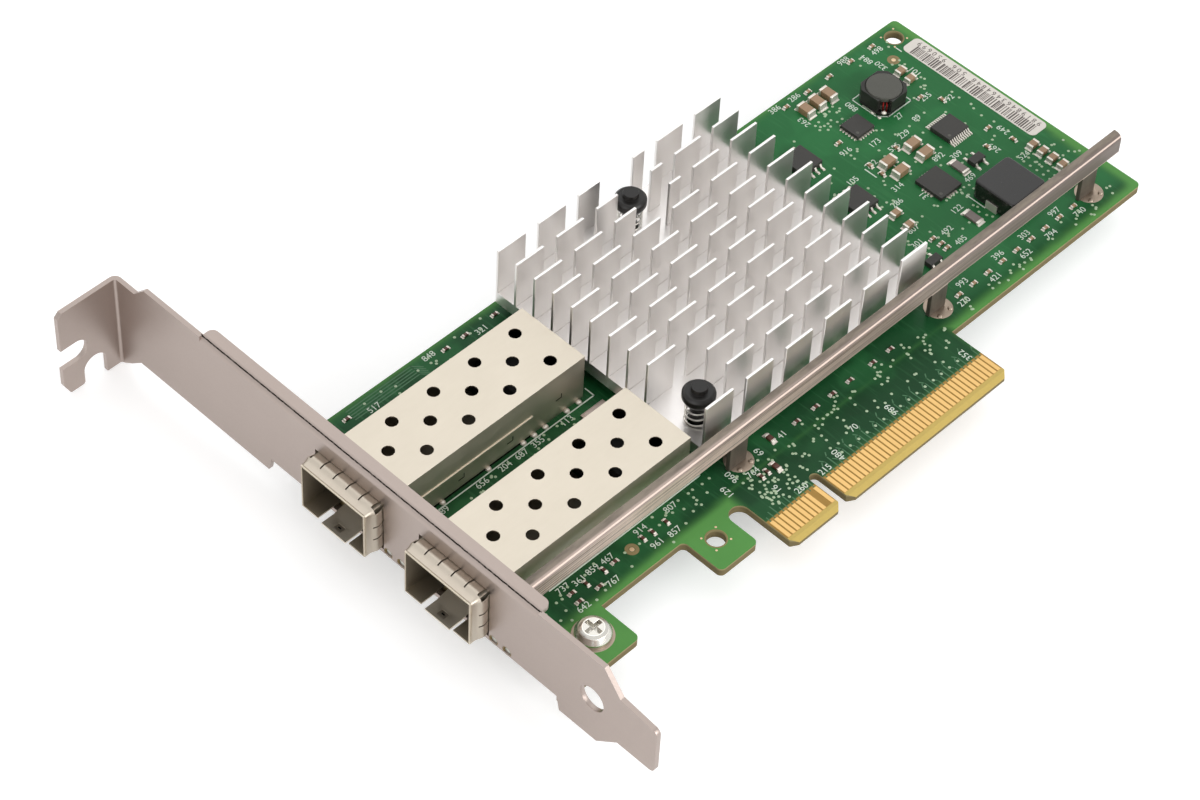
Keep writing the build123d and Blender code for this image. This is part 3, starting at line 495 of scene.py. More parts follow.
def soften(mesh, width, angle=32.0, segments=2):
    """Rounds every crease sharper than the angle, and marks the rounded faces for a painted highlight."""
    limit = math.radians(angle)
    rubbed = mesh.faces.layers.float.new("rubbed")
    creases = [e for e in mesh.edges if len(e.link_faces) == 2 and e.calc_face_angle(0) > limit]
    rounded = bmesh.ops.bevel(mesh, geom=creases, offset=width, offset_type="OFFSET", segments=segments,
                              profile=0.5, affect="EDGES", clamp_overlap=True, miter_outer="ARC")
    for face in rounded["faces"]:
        face[rubbed] = 1.0


def dressed(node, name, look, bevel, angle=32.0, segments=2):
    """Puts a copy of a part with rounded edges in the part's place."""
    mesh = copied(node)
    soften(mesh, bevel, angle, segments)
    piece_from(name, mesh, look, 30.0, (node,))


@cache
def boxes_of(node):
    """The box of each separate solid of a part."""
    mesh = bmesh.new()
    mesh.from_mesh(NODES[node].data)
    bmesh.ops.remove_doubles(mesh, verts=mesh.verts, dist=0.0005 * MM)
    seen = set()
    boxes = []
    for start in mesh.verts:
        if start in seen:
            continue
        seen.add(start)
        group = [start]
        for vert in group:
            for edge in vert.link_edges:
                other = edge.other_vert(vert)
                if other not in seen:
                    seen.add(other)
                    group.append(other)
        low = Vector([min(v.co[k] for v in group) for k in range(3)])
        high = Vector([max(v.co[k] for v in group) for k in range(3)])
        boxes.append((low, high))
    mesh.free()
    return boxes


def add_box(mesh, low, high):
    """Adds a box between two corners, to be bevelled or to lie flat."""
    middle = (Vector(low) + Vector(high)) / 2
    size = Vector(high) - Vector(low)
    matrix = Matrix.Translation(middle) @ Matrix.Diagonal((*size, 1))
    bmesh.ops.create_cube(mesh, size=1, matrix=matrix)


def add_strip(mesh, start, end, width, z0, z1):
    """Adds a flat strip from one place to another on the board."""
    start, end = Vector(start), Vector(end)
    along = (end - start).normalized() * width / 2
    across = Vector((-along.y, along.x))
    corners = [start - along - across, end + along - across, end + along + across, start - along + across]
    low = [mesh.verts.new((c.x, c.y, z0)) for c in corners]
    high = [mesh.verts.new((c.x, c.y, z1)) for c in corners]
    mesh.faces.new(high)
    for k in range(4):
        mesh.faces.new((low[k], low[k - 3], high[k - 3], high[k]))


def add_path(mesh, places, width, z0, z1):
    for start, end in zip(places, places[1:]):
        add_strip(mesh, start, end, width, z0, z1)


def add_turned(mesh, x, y, profile, steps=24):
    """Adds a turned form about an upright axis, from (radius, height) pairs."""
    rings = []
    for radius, height in profile:
        if radius <= 0:
            rings.append([mesh.verts.new((x, y, height))])
            continue
        ring = []
        for k in range(steps):
            turn = 2 * math.pi * k / steps
            ring.append(mesh.verts.new((x + radius * math.cos(turn), y + radius * math.sin(turn), height)))
        rings.append(ring)
    for lower, upper in zip(rings, rings[1:]):
        for k in range(steps):
            quad = [lower[k % len(lower)], lower[(k + 1) % len(lower)],
                    upper[(k + 1) % len(upper)], upper[k % len(upper)]]
            corners = list(dict.fromkeys(quad))
            if len(corners) > 2:
                mesh.faces.new(corners)


def dome(radius, height, base, steps=4):
    """The profile of a low dome of solder, from its rim to its crown."""
    turns = [math.pi / 2 * k / steps for k in range(steps + 1)]
    return [(radius * math.cos(t), base + height * math.sin(t)) for t in turns[:-1]] + [(0, base + height)]


def coil(x, y, radius, z0, z1, turns, steps, flat=0.0):
    """The route of a coil about an upright axis, its ends flat for a share of its length."""
    count = turns * steps
    route = []
    for k in range(count + 1):
        part = k / count
        turn = 2 * math.pi * turns * part
        rise = min(1, max(0, (part - flat) / (1 - 2 * flat)))
        route.append((x + radius * math.cos(turn), y + radius * math.sin(turn), z0 + (z1 - z0) * rise))
    return route


def add_tube(mesh, route, radius, steps=8):
    """Adds a round wire along a route."""
    rings = []
    for k, point in enumerate(route):
        ahead = Vector(route[min(k + 1, len(route) - 1)]) - Vector(route[max(k - 1, 0)])
        turn = ahead.to_track_quat("Z", "Y").to_matrix()
        ring = []
        for step in range(steps):
            angle = 2 * math.pi * step / steps
            spoke = turn @ Vector((math.cos(angle), math.sin(angle), 0)) * radius
            ring.append(mesh.verts.new(Vector(point) + spoke))
        rings.append(ring)
    for lower, upper in zip(rings, rings[1:]):
        for step in range(steps):
            after = (step + 1) % steps
            mesh.faces.new((lower[step], lower[after], upper[after], upper[step]))
    mesh.faces.new(rings[0][::-1])
    mesh.faces.new(rings[-1])


FIGURE_DEPTH = 0.006 * MM
FONT_SIZE = 1.4  # of a figure's height


def numerals(name, items, height, look, level):
    """Plain numbers printed on a surface: each item is a text, its place and its turn in degrees."""
    mesh = bmesh.new()
    for text, x, y, angle in items:
        curve = bpy.data.curves.new("numeral", "FONT")
        curve.body = text
        curve.size = height * FONT_SIZE
        curve.extrude = FIGURE_DEPTH
        curve.align_x = "CENTER"
        curve.align_y = "CENTER"
        curve.resolution_u = 3
        holder = linked("numeral", curve)
        bpy.context.view_layer.update()
        data = bpy.data.meshes.new_from_object(holder.evaluated_get(bpy.context.evaluated_depsgraph_get()))
        data.transform(Matrix.Translation((x, y, level)) @ Matrix.Rotation(math.radians(angle), 4, "Z"))
        mesh.from_mesh(data)
        bpy.data.objects.remove(holder)
        bpy.data.curves.remove(curve)
        bpy.data.meshes.remove(data)
    piece_from(name, mesh, look)


# Properties

def colour(name, text, value):
    return FloatVectorProperty(name=name, description=text, default=value, size=3, subtype="COLOR",
                               min=0, max=1)


def length(name, text, value):
    return FloatProperty(name=name, description=text, default=value, unit="LENGTH", min=0)


class CARD_PG_colours(bpy.types.PropertyGroup):
    """Colours of the card's finishes."""
    mask_green: colour("Mask green", "Solder mask over the inner copper", (0.008, 0.068, 0.020))
    pour_green: colour("Pour green", "Solder mask over copper areas", (0.018, 0.122, 0.036))
    rim_green: colour("Rim green", "Solder mask over bare laminate at the rim", (0.095, 0.29, 0.065))
    trace_green: colour("Track green", "Solder mask over copper tracks", (0.042, 0.165, 0.062))
    via: colour("Via", "Mask-covered vias", (0.42, 0.55, 0.36))
    laminate: colour("Laminate", "Bare laminate beyond the contacts", (0.54, 0.40, 0.115))
    contact_gap: colour("Contact gap", "Bare laminate between the contacts", (0.36, 0.21, 0.05))
    board_edge: colour("Board edge", "Cut edge of the laminate", (0.22, 0.175, 0.085))
    # Painted highlight along the top of the board's cut edge.
    board_lip: colour("Board edge highlight", "Upper line of the board's cut edge", (0.42, 0.36, 0.18))
    gold: colour("Gold", "Contact plating", (0.74, 0.48, 0.185))
    copper: colour("Copper", "Bare copper", (0.72, 0.52, 0.34))
    bare_ring: colour("Bare ring", "Bare laminate round holes and targets", (0.27, 0.20, 0.09))
    tin: colour("Tin", "Solder and tinned ends", (0.76, 0.71, 0.64))
    land: colour("Land", "Dull tinned rings", (0.42, 0.34, 0.27))
    nickel: colour("Nickel", "Bracket plating", (0.44, 0.37, 0.335))
    cage: colour("Cage plate", "Port cage plating", (0.69, 0.63, 0.53))
    # Painted shade inside the port cages.
    cage_inside: colour("Cage inside shade", "Plating inside the port cages", (0.47, 0.41, 0.32))
    shadow_gap: colour("Shadow gap", "Dark gaps and cuts in sheet metal", (0.012, 0.011, 0.008))
    collar: colour("Collar plate", "Spring collar plating", (0.56, 0.50, 0.42))
    aluminium: colour("Aluminium", "Heat sink", (0.875, 0.85, 0.83))
    rail: colour("Rail", "Stiffening rail plating", (0.66, 0.53, 0.46))
    # Painted reflection on the rail's top flange; the legs take a darker tone from it too.
    rail_top: colour("Rail top reflection", "Top flange of the stiffening rail", (0.24, 0.20, 0.16))
    screw: colour("Screw", "Screw and spring steel", (0.68, 0.66, 0.61))
    enamel: colour("Enamel", "Enamelled copper wire", (0.15, 0.012, 0.010))
    winding: colour("Winding", "Wound wire in the drum core", (0.035, 0.018, 0.012))
    epoxy: colour("Epoxy", "Chip bodies", (0.046, 0.044, 0.040))
    ferrite: colour("Ferrite", "Drum core", (0.10, 0.10, 0.086))
    nylon: colour("Nylon", "Push pins", (0.010, 0.009, 0.008))
    ceramic: colour("Ceramic", "Capacitor bodies", (0.37, 0.235, 0.135))
    glaze: colour("Glaze", "Fuse and resistor bodies", (0.10, 0.035, 0.022))
    sense: colour("Sense resistor", "Large resistor bodies", (0.20, 0.165, 0.15))
    rubber: colour("Rubber", "Thermal pad", (0.32, 0.33, 0.36))
    lens: colour("Lens", "Status light lenses", (0.80, 0.82, 0.76))
    ink: colour("Ink", "White printing on the board", (0.70, 0.78, 0.68))
    dark_ink: colour("Dark ink", "Printing on the label", (0.13, 0.11, 0.10))
    label: colour("Label", "Label film", (0.80, 0.75, 0.69))
    floor: colour("Floor", "Studio floor", (0.72, 0.72, 0.72))


class CARD_PG_sizes(bpy.types.PropertyGroup):
    """Sizes of the details added to the card."""
    rim_band: length("Rim band", "Width of the clear band round the board", 3.4 * MM)
    sheet_edge: length("Sheet edge", "Rounding of sheet metal edges", 0.1 * MM)
    chip_edge: length("Chip edge", "Rounding of chip edges", 0.07 * MM)
    fin_edge: length("Fin edge", "Rounding of fin edges", 0.06 * MM)
    ink_line: length("Ink line", "Width of printed lines", 0.22 * MM)
    ink_height: length("Figure height", "Height of printed figures", 1.2 * MM)
    ink_rise: length("Ink rise", "Thickness of the printing", 0.02 * MM)
    via_radius: length("Via radius", "Radius of a via", 0.26 * MM)
    track_width: length("Track width", "Width of a track", 0.2 * MM)
    solder_rise: length("Solder rise", "Height of solder beside an end", 0.3 * MM)
    spring_radius: length("Spring radius", "Radius of a pin spring's coil", 2.0 * MM)
    spring_wire: length("Spring wire", "Radius of a pin spring's wire", 0.17 * MM)
    spring_turns: IntProperty(name="Spring turns", description="Turns of a pin spring", default=4, min=2)
    target: FloatVectorProperty(name="Camera target", description="Point that the camera looks at",
                                default=(0.010, 0.035, 0.0), subtype="TRANSLATION")


# Board

class CARD_OT_board(bpy.types.Operator):
    """Finishes the circuit board and its edge contacts"""
    bl_idname = "card.board"
    bl_label = "Circuit board"

    def execute(self, context):
        paint("solder_mask", "circuit_board")
        paint("gold_plate", "edge_contacts")
        paint("light_lens", "status_lights")
        return {"FINISHED"}


# Vias in rows, and areas strewn with vias as x from and to, y from and to and how many, all in mm.
VIA_ROWS = (
    [(x, 7.5) for x in range(7, 37, 2)]
    + [(x + k, 14.2 + k * 0.5) for x in (8, 12, 16.4, 22.4, 26.2, 30.2, 34.2) for k in (0, 1.3)]
    + [(61.2 + 0.9 * k, 32.6) for k in range(6)]
    + [(77.9 + 1.3 * k, 23.8 + 1.45 * j) for k in range(3) for j in range(6)]
)
VIA_FIELDS = [
    (58, 65, 57.6, 62.4, 26), (-10, 3, 7.4, 15.6, 34), (-50, -32, 13.2, 19, 20), (-30, -12, 13.2, 19, 24),
    (-46, -16, 39.5, 42.6, 22), (-48, -14, 60.5, 67.4, 30), (41, 56, 20, 34, 34), (41, 55, 36, 60, 40),
    (56, 68, 20, 34, 24), (66, 82, 36, 50, 34), (74, 83, 52, 66, 22), (42, 87, 13, 16, 34),
    (5, 40, 8.5, 16.2, 60), (-9, -1, 6.4, 15.6, 44), (78, 87, 18, 31, 20), (56, 66, 40, 52, 18),
]
# Parts that vias keep clear of, and by how much.
VIA_CLEARANCE = 0.3 * MM
STANDING = [
    "small_parts", "large_capacitors", "medium_capacitors", "large_resistors", "fuses", "crystal",
    "power_controller", "power_stage", "logic_chip", "logic_chip_leads", "transistors", "memory_chips",
    "drum_inductor_base", "power_inductor", "port_cage_1", "port_cage_2", "controller_chip",
    "identification_label", "bracket_screw", "push_pins",
]
# Tracks above the contacts: first place, how many, lowest end, its steps, steps in a cycle and jog, in mm.
CONTACT_TRACKS = [(1.5, 38, 6.9, 0.55, 4, 0.5), (-11.5, 11, 6.6, 0.6, 3, 0)]
CONTACT_TOP = 5.6
# Groups of like tracks: how many, the step from one to the next, and the first one's corners, in mm.
BUSES = [
    (5, (0, 0.55), [(-44, 65.2), (-30, 65.2), (-28.6, 63.8)]),
    (4, (0.9, 0), [(42.5, 20), (42.5, 27), (44.5, 29)]),
]


def free_of_parts(x, y):
    """True where nothing that stands on the board covers a place."""
    near = VIA_CLEARANCE
    for node in STANDING:
        for low, high in boxes_of(node):
            if low.x - near < x < high.x + near and low.y - near < y < high.y + near:
                return False
    return True


class CARD_OT_tracks(bpy.types.Operator):
    """Adds vias and tracks to the board's face"""
    bl_idname = "card.tracks"
    bl_label = "Vias and tracks"

    def execute(self, context):
        _, sizes = settings()
        draw = random.Random(11)
        places = [(x * MM, y * MM) for x, y in VIA_ROWS]
        for x0, x1, y0, y1, count in VIA_FIELDS:
            for _ in range(count):
                places.append((draw.uniform(x0, x1) * MM, draw.uniform(y0, y1) * MM))
        mesh = bmesh.new()
        for x, y in places:
            if free_of_parts(x, y):
                add_turned(mesh, x, y, dome(sizes.via_radius, 0.04 * MM, FACE, 3), 10)
        piece_from("mask_covered_vias", mesh, "via_mask", 40)
        mesh = bmesh.new()
        level = (FACE, FACE + 0.015 * MM)
        routes = []
        for first, count, end, step, cycle, jog in CONTACT_TRACKS:
            for k in range(count):
                x, top = first + k, end + (k % cycle) * step
                route = [(x, CONTACT_TOP), (x, top)]
                if jog:
                    route.append((x + (jog if k % 2 else -jog), top + 0.7))
                routes.append(route)
        for count, (across, up), corners in BUSES:
            routes += [[(x + k * across, y + k * up) for x, y in corners] for k in range(count)]
        for route in routes:
            add_path(mesh, [(x * MM, y * MM) for x, y in route], sizes.track_width, *level)
        piece_from("masked_tracks", mesh, "mask_over_copper")
        return {"FINISHED"}


def ring(mesh, x, y, inner, outer, rise):
    """Adds a flat ring with soft edges to the board's face."""
    soft = min(0.12 * MM, (outer - inner) / 3)
    top = FACE + rise
    profile = [(outer, FACE), (outer - soft, top), (inner + soft, top), (inner, FACE)]
    add_turned(mesh, x, y, profile, 40)


# Places on the board: round targets and the rail's legs in mm, and the two bare holes in metres.
TARGETS = [(80.4, 61.5), (-31.1, 16.7)]
LEGS = [(-6.1, 17.6), (41.6, 17.4), (80.3, 17.2)]
HOLES = [(BOARD_HIGH.x - 3.6 * MM, BOARD_HIGH.y - 3.1 * MM), (-20.15 * MM, 9.2 * MM)]
# Rings by inner and outer radius, and domes of solder by radius and height.
SCREW_RING, LEG_RING = (1.8 * MM, 3.4 * MM), (0.2 * MM, 2.5 * MM)
HOLE_RING, TARGET_RING = (1.62 * MM, 1.85 * MM), (0.5 * MM, 1.15 * MM)
LEG_SOLDER, FOOT_SOLDER = (0.5 * MM, 0.3 * MM), (0.55 * MM, 0.42 * MM)
LAND_RISE = 0.05 * MM
HOLE_DOTS = 2.3 * MM
# Where the cages' tails meet the board along X, in mm, and how far outside the cage's box.
FOOT_OUT = 0.15 * MM
CAGE_FEET = (-45.8, -35.9, -28.2, -25.8, -23.3, -18.5, -15.8)


class CARD_OT_lands(bpy.types.Operator):
    """Adds tinned rings, pads and solder to the board's faces"""
    bl_idname = "card.lands"
    bl_label = "Tinned lands and solder"

    def execute(self, context):
        mesh = bmesh.new()
        ring(mesh, *middle_of(*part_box("bracket_screw")), *SCREW_RING, LAND_RISE)
        for leg_x, leg_y in LEGS:
            ring(mesh, leg_x * MM, leg_y * MM, *LEG_RING, LAND_RISE)
            for side in (-1, 1):
                add_turned(mesh, (leg_x + side * 1.3) * MM, (leg_y - 1.5) * MM,
                           dome(*LEG_SOLDER, FACE + LAND_RISE), 16)
        piece_from("tinned_lands", mesh, "dull_land", 40)
        mesh = bmesh.new()
        for cage in ("port_cage_1", "port_cage_2"):
            low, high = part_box(cage)
            for at in CAGE_FEET:
                for y in (low.y - FOOT_OUT, high.y + FOOT_OUT):
                    add_turned(mesh, at * MM, y, dome(*FOOT_SOLDER, FACE), 16)
        piece_from("cage_solder", mesh, "solder_tin", 40)
        mesh = bmesh.new()
        spots = bmesh.new()
        for hole_x, hole_y in HOLES:
            ring(mesh, hole_x, hole_y, *HOLE_RING, 0.02 * MM)
            for k in range(4):
                turn = math.pi / 2 * (k + 0.5)
                x, y = hole_x + HOLE_DOTS * math.cos(turn), hole_y + HOLE_DOTS * math.sin(turn)
                add_turned(spots, x, y, dome(0.2 * MM, 0.02 * MM, FACE, 2), 12)
        for x, y in TARGETS:
            ring(mesh, x * MM, y * MM, *TARGET_RING, 0.015 * MM)
            add_turned(spots, x * MM, y * MM, dome(0.42 * MM, 0.03 * MM, FACE), 24)
        piece_from("bare_rings", mesh, "bare_ring", 40)
        piece_from("hole_and_target_dots", spots, "bare_copper", 40)
        return {"FINISHED"}


# Printing on the board

# Figures on the board: their places in mm, and a turn in degrees where they stand upright.
FIGURES = [
    (-44.2, 18.6), (-41.3, 18), (-38.3, 18.1), (-35.2, 18), (-27.4, 18.5), (-20.8, 18.4), (-27.4, 14.8),
    (-23.8, 14.6), (-37.6, 14.3), (-44.4, 13.9), (-12.1, 14.4, 90), (-9.4, 16, 90), (-2.5, 16.6, 90),
    (2.8, 16.5), (-6.3, 14.3), (-6, 9.5, 90), (-3.1, 6.9), (2.4, 6.9), (6.2, 7.5, 90), (12.1, 9.6),
    (19.4, 8, 90), (36.9, 7.5, 90), (-47, 42.2), (-38.6, 42), (-33.6, 42), (-30, 42), (-26.4, 42),
    (-19.9, 42), (-26.4, 67), (-16.2, 65.3), (-40.2, 65), (56, 67.3), (60.7, 67), (73.7, 67.3),
    (77, 64.8, 90), (80, 65), (57.5, 61.8, 90), (66.3, 58.7, 90), (57.4, 52), (62.6, 50), (70.5, 51.5),
    (72.4, 49.1), (58.3, 47), (64.2, 47), (67.8, 48), (77.5, 51.5), (81, 57, 90), (80, 48.5), (53, 46.5),
    (57.5, 40.3), (68, 40.3), (77.7, 62, 90), (59.2, 36, 90), (48.7, 18.3), (45.7, 15.3), (57.8, 18.3),
    (53.7, 15.3), (64.6, 18.3), (61.5, 15.3), (72.4, 18.3), (68.1, 15.3), (75.6, 15.3), (70.6, 38.5),
    (54.6, 37.9), (52, 32), (50, 29.3), (55.9, 27.9), (55.9, 24.8), (60.9, 30), (68.2, 33.3), (79, 30.5),
    (76.7, 35.2, 90), (81.2, 37, 90),
]
# The ones among them with two digits.
SHORT_FIGURES = {(-2.5, 16.6), (2.8, 16.5), (12.1, 9.6), (-6, 9.5), (70.5, 51.5), (72.4, 49.1), (59.2, 36)}
# Corners of the printed lines, in mm.
OUTLINES = [
    [(-46, 19.7), (-12.75, 19.7), (-12.75, 21.2)],
    [(-47.5, 42.85), (-13, 42.85), (-13, 44.8)],
    [(67.6, 59.8), (67.6, 54.2), (69.1, 52.7), (75, 52.7), (75, 59.8), (67.6, 59.8)],
    [(64.6, 27), (64.6, 31)],
    [(83, 62), (83, 63.2)],
    [(56.6, 46.9), (56.6, 44.4)], [(60.9, 45.2), (60.9, 42.6)],
]


class CARD_OT_printing(bpy.types.Operator):
    """Prints outlines and plain figures on the board"""
    bl_idname = "card.printing"
    bl_label = "Board printing"

    def execute(self, context):
        _, sizes = settings()
        draw = random.Random(5)
        mesh = bmesh.new()
        for places in OUTLINES:
            add_path(mesh, [(x * MM, y * MM) for x, y in places], sizes.ink_line, FACE, FACE + sizes.ink_rise)
        piece_from("printed_outlines", mesh, "silk_ink")
        items = []
        for x, y, *turn in FIGURES:
            figure = draw.randint(10, 99) if (x, y) in SHORT_FIGURES else draw.randint(100, 999)
            items.append((str(figure), x * MM, y * MM, turn[0] if turn else 0))
        level = FACE + sizes.ink_rise / 2
        numerals("printed_figures", items, sizes.ink_height, "silk_ink", level)
        return {"FINISHED"}


# Bracket and ports

class CARD_OT_bracket(bpy.types.Operator):
    """Dresses the mounting bracket and its screw"""
    bl_idname = "card.bracket"
    bl_label = "Bracket and screw"

    def execute(self, context):
        _, sizes = settings()
        dressed("bracket", "bracket_plate", "satin_nickel", sizes.sheet_edge)
        dressed("bracket_screw", "pan_head_screw", "screw_steel", 0.12 * MM, 25, 3)
        return {"FINISHED"}


# Sizes round the mouths. Along a collar, SLIT is half the width of the slit between two fingers, in mm.
COLLAR_RISE = 0.72 * MM
COLLAR_BEND = 0.45 * MM
SIDE_CUTS = (4.85 - 1.4, 4.85 + 1.4)
TOP_CUTS = (-4.26, -1.42, 1.42, 4.26)
SLIT = 0.13
SLIT_FROM, SLIT_TO, CORNER_FROM = 1.2, 3.9, 1.6
COLLAR_PROFILE = [(0, 0.02), (0.4, 0.06), (0.9, 0.16), (1.25, 0.28), (1.6, 0.44), (1.9, 0.54), (2.2, 0.55),
                  (2.6, 0.46), (3.0, 0.33), (3.4, 0.24), (3.9, 0.16), (4.45, 0.10)]
# The small windows in the bracket: height, how far behind its face they sit, the lens by radius and
# height, and the rim's profile by radius and depth.
WINDOW_Z, WINDOW_BACK = -0.6 * MM, 0.45 * MM
LENS = (0.92 * MM, 0.12 * MM)
RIM = [(0.94 * MM, 0), (0.94 * MM, 0.4 * MM), (0.78 * MM, 0.4 * MM), (0.7 * MM, 0.14 * MM)]
# On the cage sides, in mm: cuts by place along X, height and the face's distance from the middle, the gaps
# over the board between the tails, and the heights of the leaves.
SKIN, WALL = 7.31, 6.75
SIDE_MARKS = ((-30.9, 2.5, SKIN), (-20.0, 4.0, 7.11), (-41.5, 2.3, SKIN))
GAPS_FROM, GAPS_TO = -53.5, -26.0
LEAVES = ((2.0, 4.2), (5.2, 7.4))
THIN = 0.02 * MM


def cage_shell(number):
    """A port cage with rounded edges, its inner faces marked for painted shade."""
    node = "port_cage_" + number
    mesh = copied(node)
    soften(mesh, 0.05 * MM)
    low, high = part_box("spring_collar_" + number)
    middle = (low.y + high.y) / 2
    roof = high.z - COLLAR_RISE
    inside = mesh.faces.layers.float.new("inside")
    for face in mesh.faces:
        at = face.calc_center_median()
        if abs(at.y - middle) < 6.9 * MM and 0.15 * MM < at.z < roof - 0.15 * MM:
            face[inside] = 1.0
    piece_from("cage_shell_" + number, mesh, "matte_cage_plate", 30, (node,))


def collar(number):
    """The collar of contact fingers, stamped from one strip and bowed outward round the mouth."""
    node = "spring_collar_" + number
    low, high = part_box(node)
    middle = (low.y + high.y) / 2
    half = (high.y - low.y) / 2 - COLLAR_RISE
    roof = high.z - COLLAR_RISE
    foot = low.z
    # Places along the strip: up one side, over the top and down the other side.
    stops = []
    for sign in (-1, 1):
        places = [foot / MM]
        for z in SIDE_CUTS:
            places += [z - SLIT, z + SLIT]
        places.append((roof - COLLAR_BEND) / MM - 0.5)
        side = [(Vector((0, sign * half, z * MM)), Vector((0, sign, 0)), "side") for z in places]
        centre = Vector((0, sign * (half - COLLAR_BEND), roof - COLLAR_BEND))
        for k in range(5):
            turn = math.pi / 2 * k / 4
            across = Vector((0, sign * math.cos(turn), math.sin(turn)))
            side.append((centre + across * COLLAR_BEND, across, "corner"))
        stops.append(side)
    top = [(Vector((0, (y + edge) * MM, roof)), Vector((0, 0, 1)), "top")
           for y in TOP_CUTS for edge in (-SLIT, SLIT)]
    run = stops[0] + top + stops[1][::-1]
    mesh = bmesh.new()
    grid = [[mesh.verts.new(Vector((low.x + u * MM, middle, 0)) + at + out * v * MM) for at, out, _ in run]
            for u, v in COLLAR_PROFILE]
    for row, (reach, _) in enumerate(COLLAR_PROFILE[:-1]):
        for k in range(len(run) - 1):
            kinds = (run[k][2], run[k + 1][2])
            gap = (run[k][0] - run[k + 1][0]).length < 2.2 * SLIT * MM and "corner" not in kinds
            if gap and SLIT_FROM <= reach < SLIT_TO or kinds == ("corner", "corner") and reach >= CORNER_FROM:
                continue
            mesh.faces.new((grid[row][k], grid[row + 1][k], grid[row + 1][k + 1], grid[row][k + 1]))
    bmesh.ops.recalc_face_normals(mesh, faces=mesh.faces)
    loose = [v for v in mesh.verts if not v.link_faces]
    bmesh.ops.delete(mesh, geom=loose, context="VERTS")
    bmesh.ops.solidify(mesh, geom=mesh.faces, thickness=-0.14 * MM)
    piece_from("contact_collar_" + number, mesh, "collar_plate", 35, (node,))


def light_windows():
    """The clear windows of the status lights, set in the bracket's small holes."""
    windows, rims = bmesh.new(), bmesh.new()
    for low, high in boxes_of("status_lights"):
        at = Vector((BRACKET_FACE + WINDOW_BACK, (low.y + high.y) / 2, WINDOW_Z))
        place = Matrix.Translation(at) @ Matrix.Rotation(-math.pi / 2, 4, "Y")
        for mesh, profile in ((windows, dome(*LENS, 0)), (rims, RIM)):
            first = len(mesh.verts)
            add_turned(mesh, 0, 0, profile, 24)
            mesh.verts.ensure_lookup_table()
            bmesh.ops.transform(mesh, matrix=place, verts=mesh.verts[first:])
    piece_from("light_windows", windows, "light_lens", 50)
    piece_from("light_rims", rims, "bare_ring", 30)


def port_trim():
    """Leaves inside the mouths, the latches' shaded eyes, and the cuts and gaps along the cage sides."""
    leaves, dark, bright = bmesh.new(), bmesh.new(), bmesh.new()
    # A cut is a dark foot and upright over a bright edge: x from and to, z from and to, and how proud.
    cut = ((dark, -0.75, 0.55, -0.16, 0, 1), (dark, 0.40, 0.55, 0, 0.8, 1),
           (bright, -0.7, 0.6, -0.3, -0.18, 1.2))
    for number in ("1", "2"):
        low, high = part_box("spring_collar_" + number)
        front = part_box("port_cage_" + number)[0].x
        middle = (low.y + high.y) / 2
        for side in (-1, 1):
            wall = middle + side * WALL * MM
            for z0, z1 in LEAVES:
                route = [(front + 8.2 * MM, wall), (front + 5.6 * MM, wall - side * 1.3 * MM),
                         (front + 4.6 * MM, wall - side * 1.1 * MM)]
                add_path(leaves, route, 0.16 * MM, z0 * MM, z1 * MM)
            skin = middle + side * SKIN * MM
            # Dark strips of painted shadow fill the gaps under the side walls between the tails.
            ends = [GAPS_FROM] + [x for x in CAGE_FEET if x < GAPS_TO] + [GAPS_TO]
            for start, stop in zip(ends, ends[1:]):
                add_box(dark, (start * MM + 0.5 * MM, skin - THIN, FACE + 0.02 * MM),
                        (stop * MM - 0.5 * MM, skin + THIN, FACE + 0.42 * MM))
            for x, z, face in SIDE_MARKS:
                at = middle + side * face * MM
                for mesh, x0, x1, z0, z1, proud in cut:
                    add_box(mesh, ((x + x0) * MM, at - THIN, (z + z0) * MM),
                            ((x + x1) * MM, at + proud * THIN, (z + z1) * MM))
        eye = front + 1.3 * MM
        add_box(leaves, (eye - 0.85 * MM, middle - 1.05 * MM, -0.5 * MM),
                (eye + 0.85 * MM, middle + 1.05 * MM, -0.33 * MM))
        add_box(dark, (eye - 0.1 * MM, middle - 0.3 * MM, -0.4 * MM),
                (eye + 0.15 * MM, middle + 0.3 * MM, -0.3 * MM))
    piece_from("mouth_leaves", leaves, "collar_plate")
    piece_from("cage_gaps", dark, "shadow_gap")
    piece_from("cage_cut_edges", bright, "collar_plate")


class CARD_OT_ports(bpy.types.Operator):
    """Dresses the two port cages, their collars and connectors"""
    bl_idname = "card.ports"
    bl_label = "Port cages"

    def execute(self, context):
        for number in ("1", "2"):
            cage_shell(number)
            collar(number)
            dressed("port_connector_" + number, "host_block_" + number, "connector_plastic",
                    0.1 * MM)
            paint("gold_plate", "port_contacts_" + number)
        port_trim()
        light_windows()
        return {"FINISHED"}


# Heat sink

class CARD_OT_heat_sink(bpy.types.Operator):
    """Dresses the heat sink with its controller, pins and springs"""
    bl_idname = "card.heat_sink"
    bl_label = "Heat sink"

    def execute(self, context):
        _, sizes = settings()
        dressed("heat_sink", "fin_block", "extruded_aluminium", sizes.fin_edge, 32, 1)
        dressed("controller_chip", "controller_package", "controller_body", sizes.chip_edge)
        paint("pad_rubber", "thermal_pad")
        dressed("push_pins", "pin_mouldings", "black_nylon", 0.12 * MM, 25, 2)
        mesh = bmesh.new()
        for low, high in boxes_of("push_pin_springs"):
            wire = sizes.spring_wire
            route = coil(*middle_of(low, high), sizes.spring_radius, low.z + wire, high.z - wire,
                         sizes.spring_turns, 28, 0.1)
            add_tube(mesh, route, wire)
        piece_from("coil_springs", mesh, "spring_steel", 60, ("push_pin_springs",))
        return {"FINISHED"}


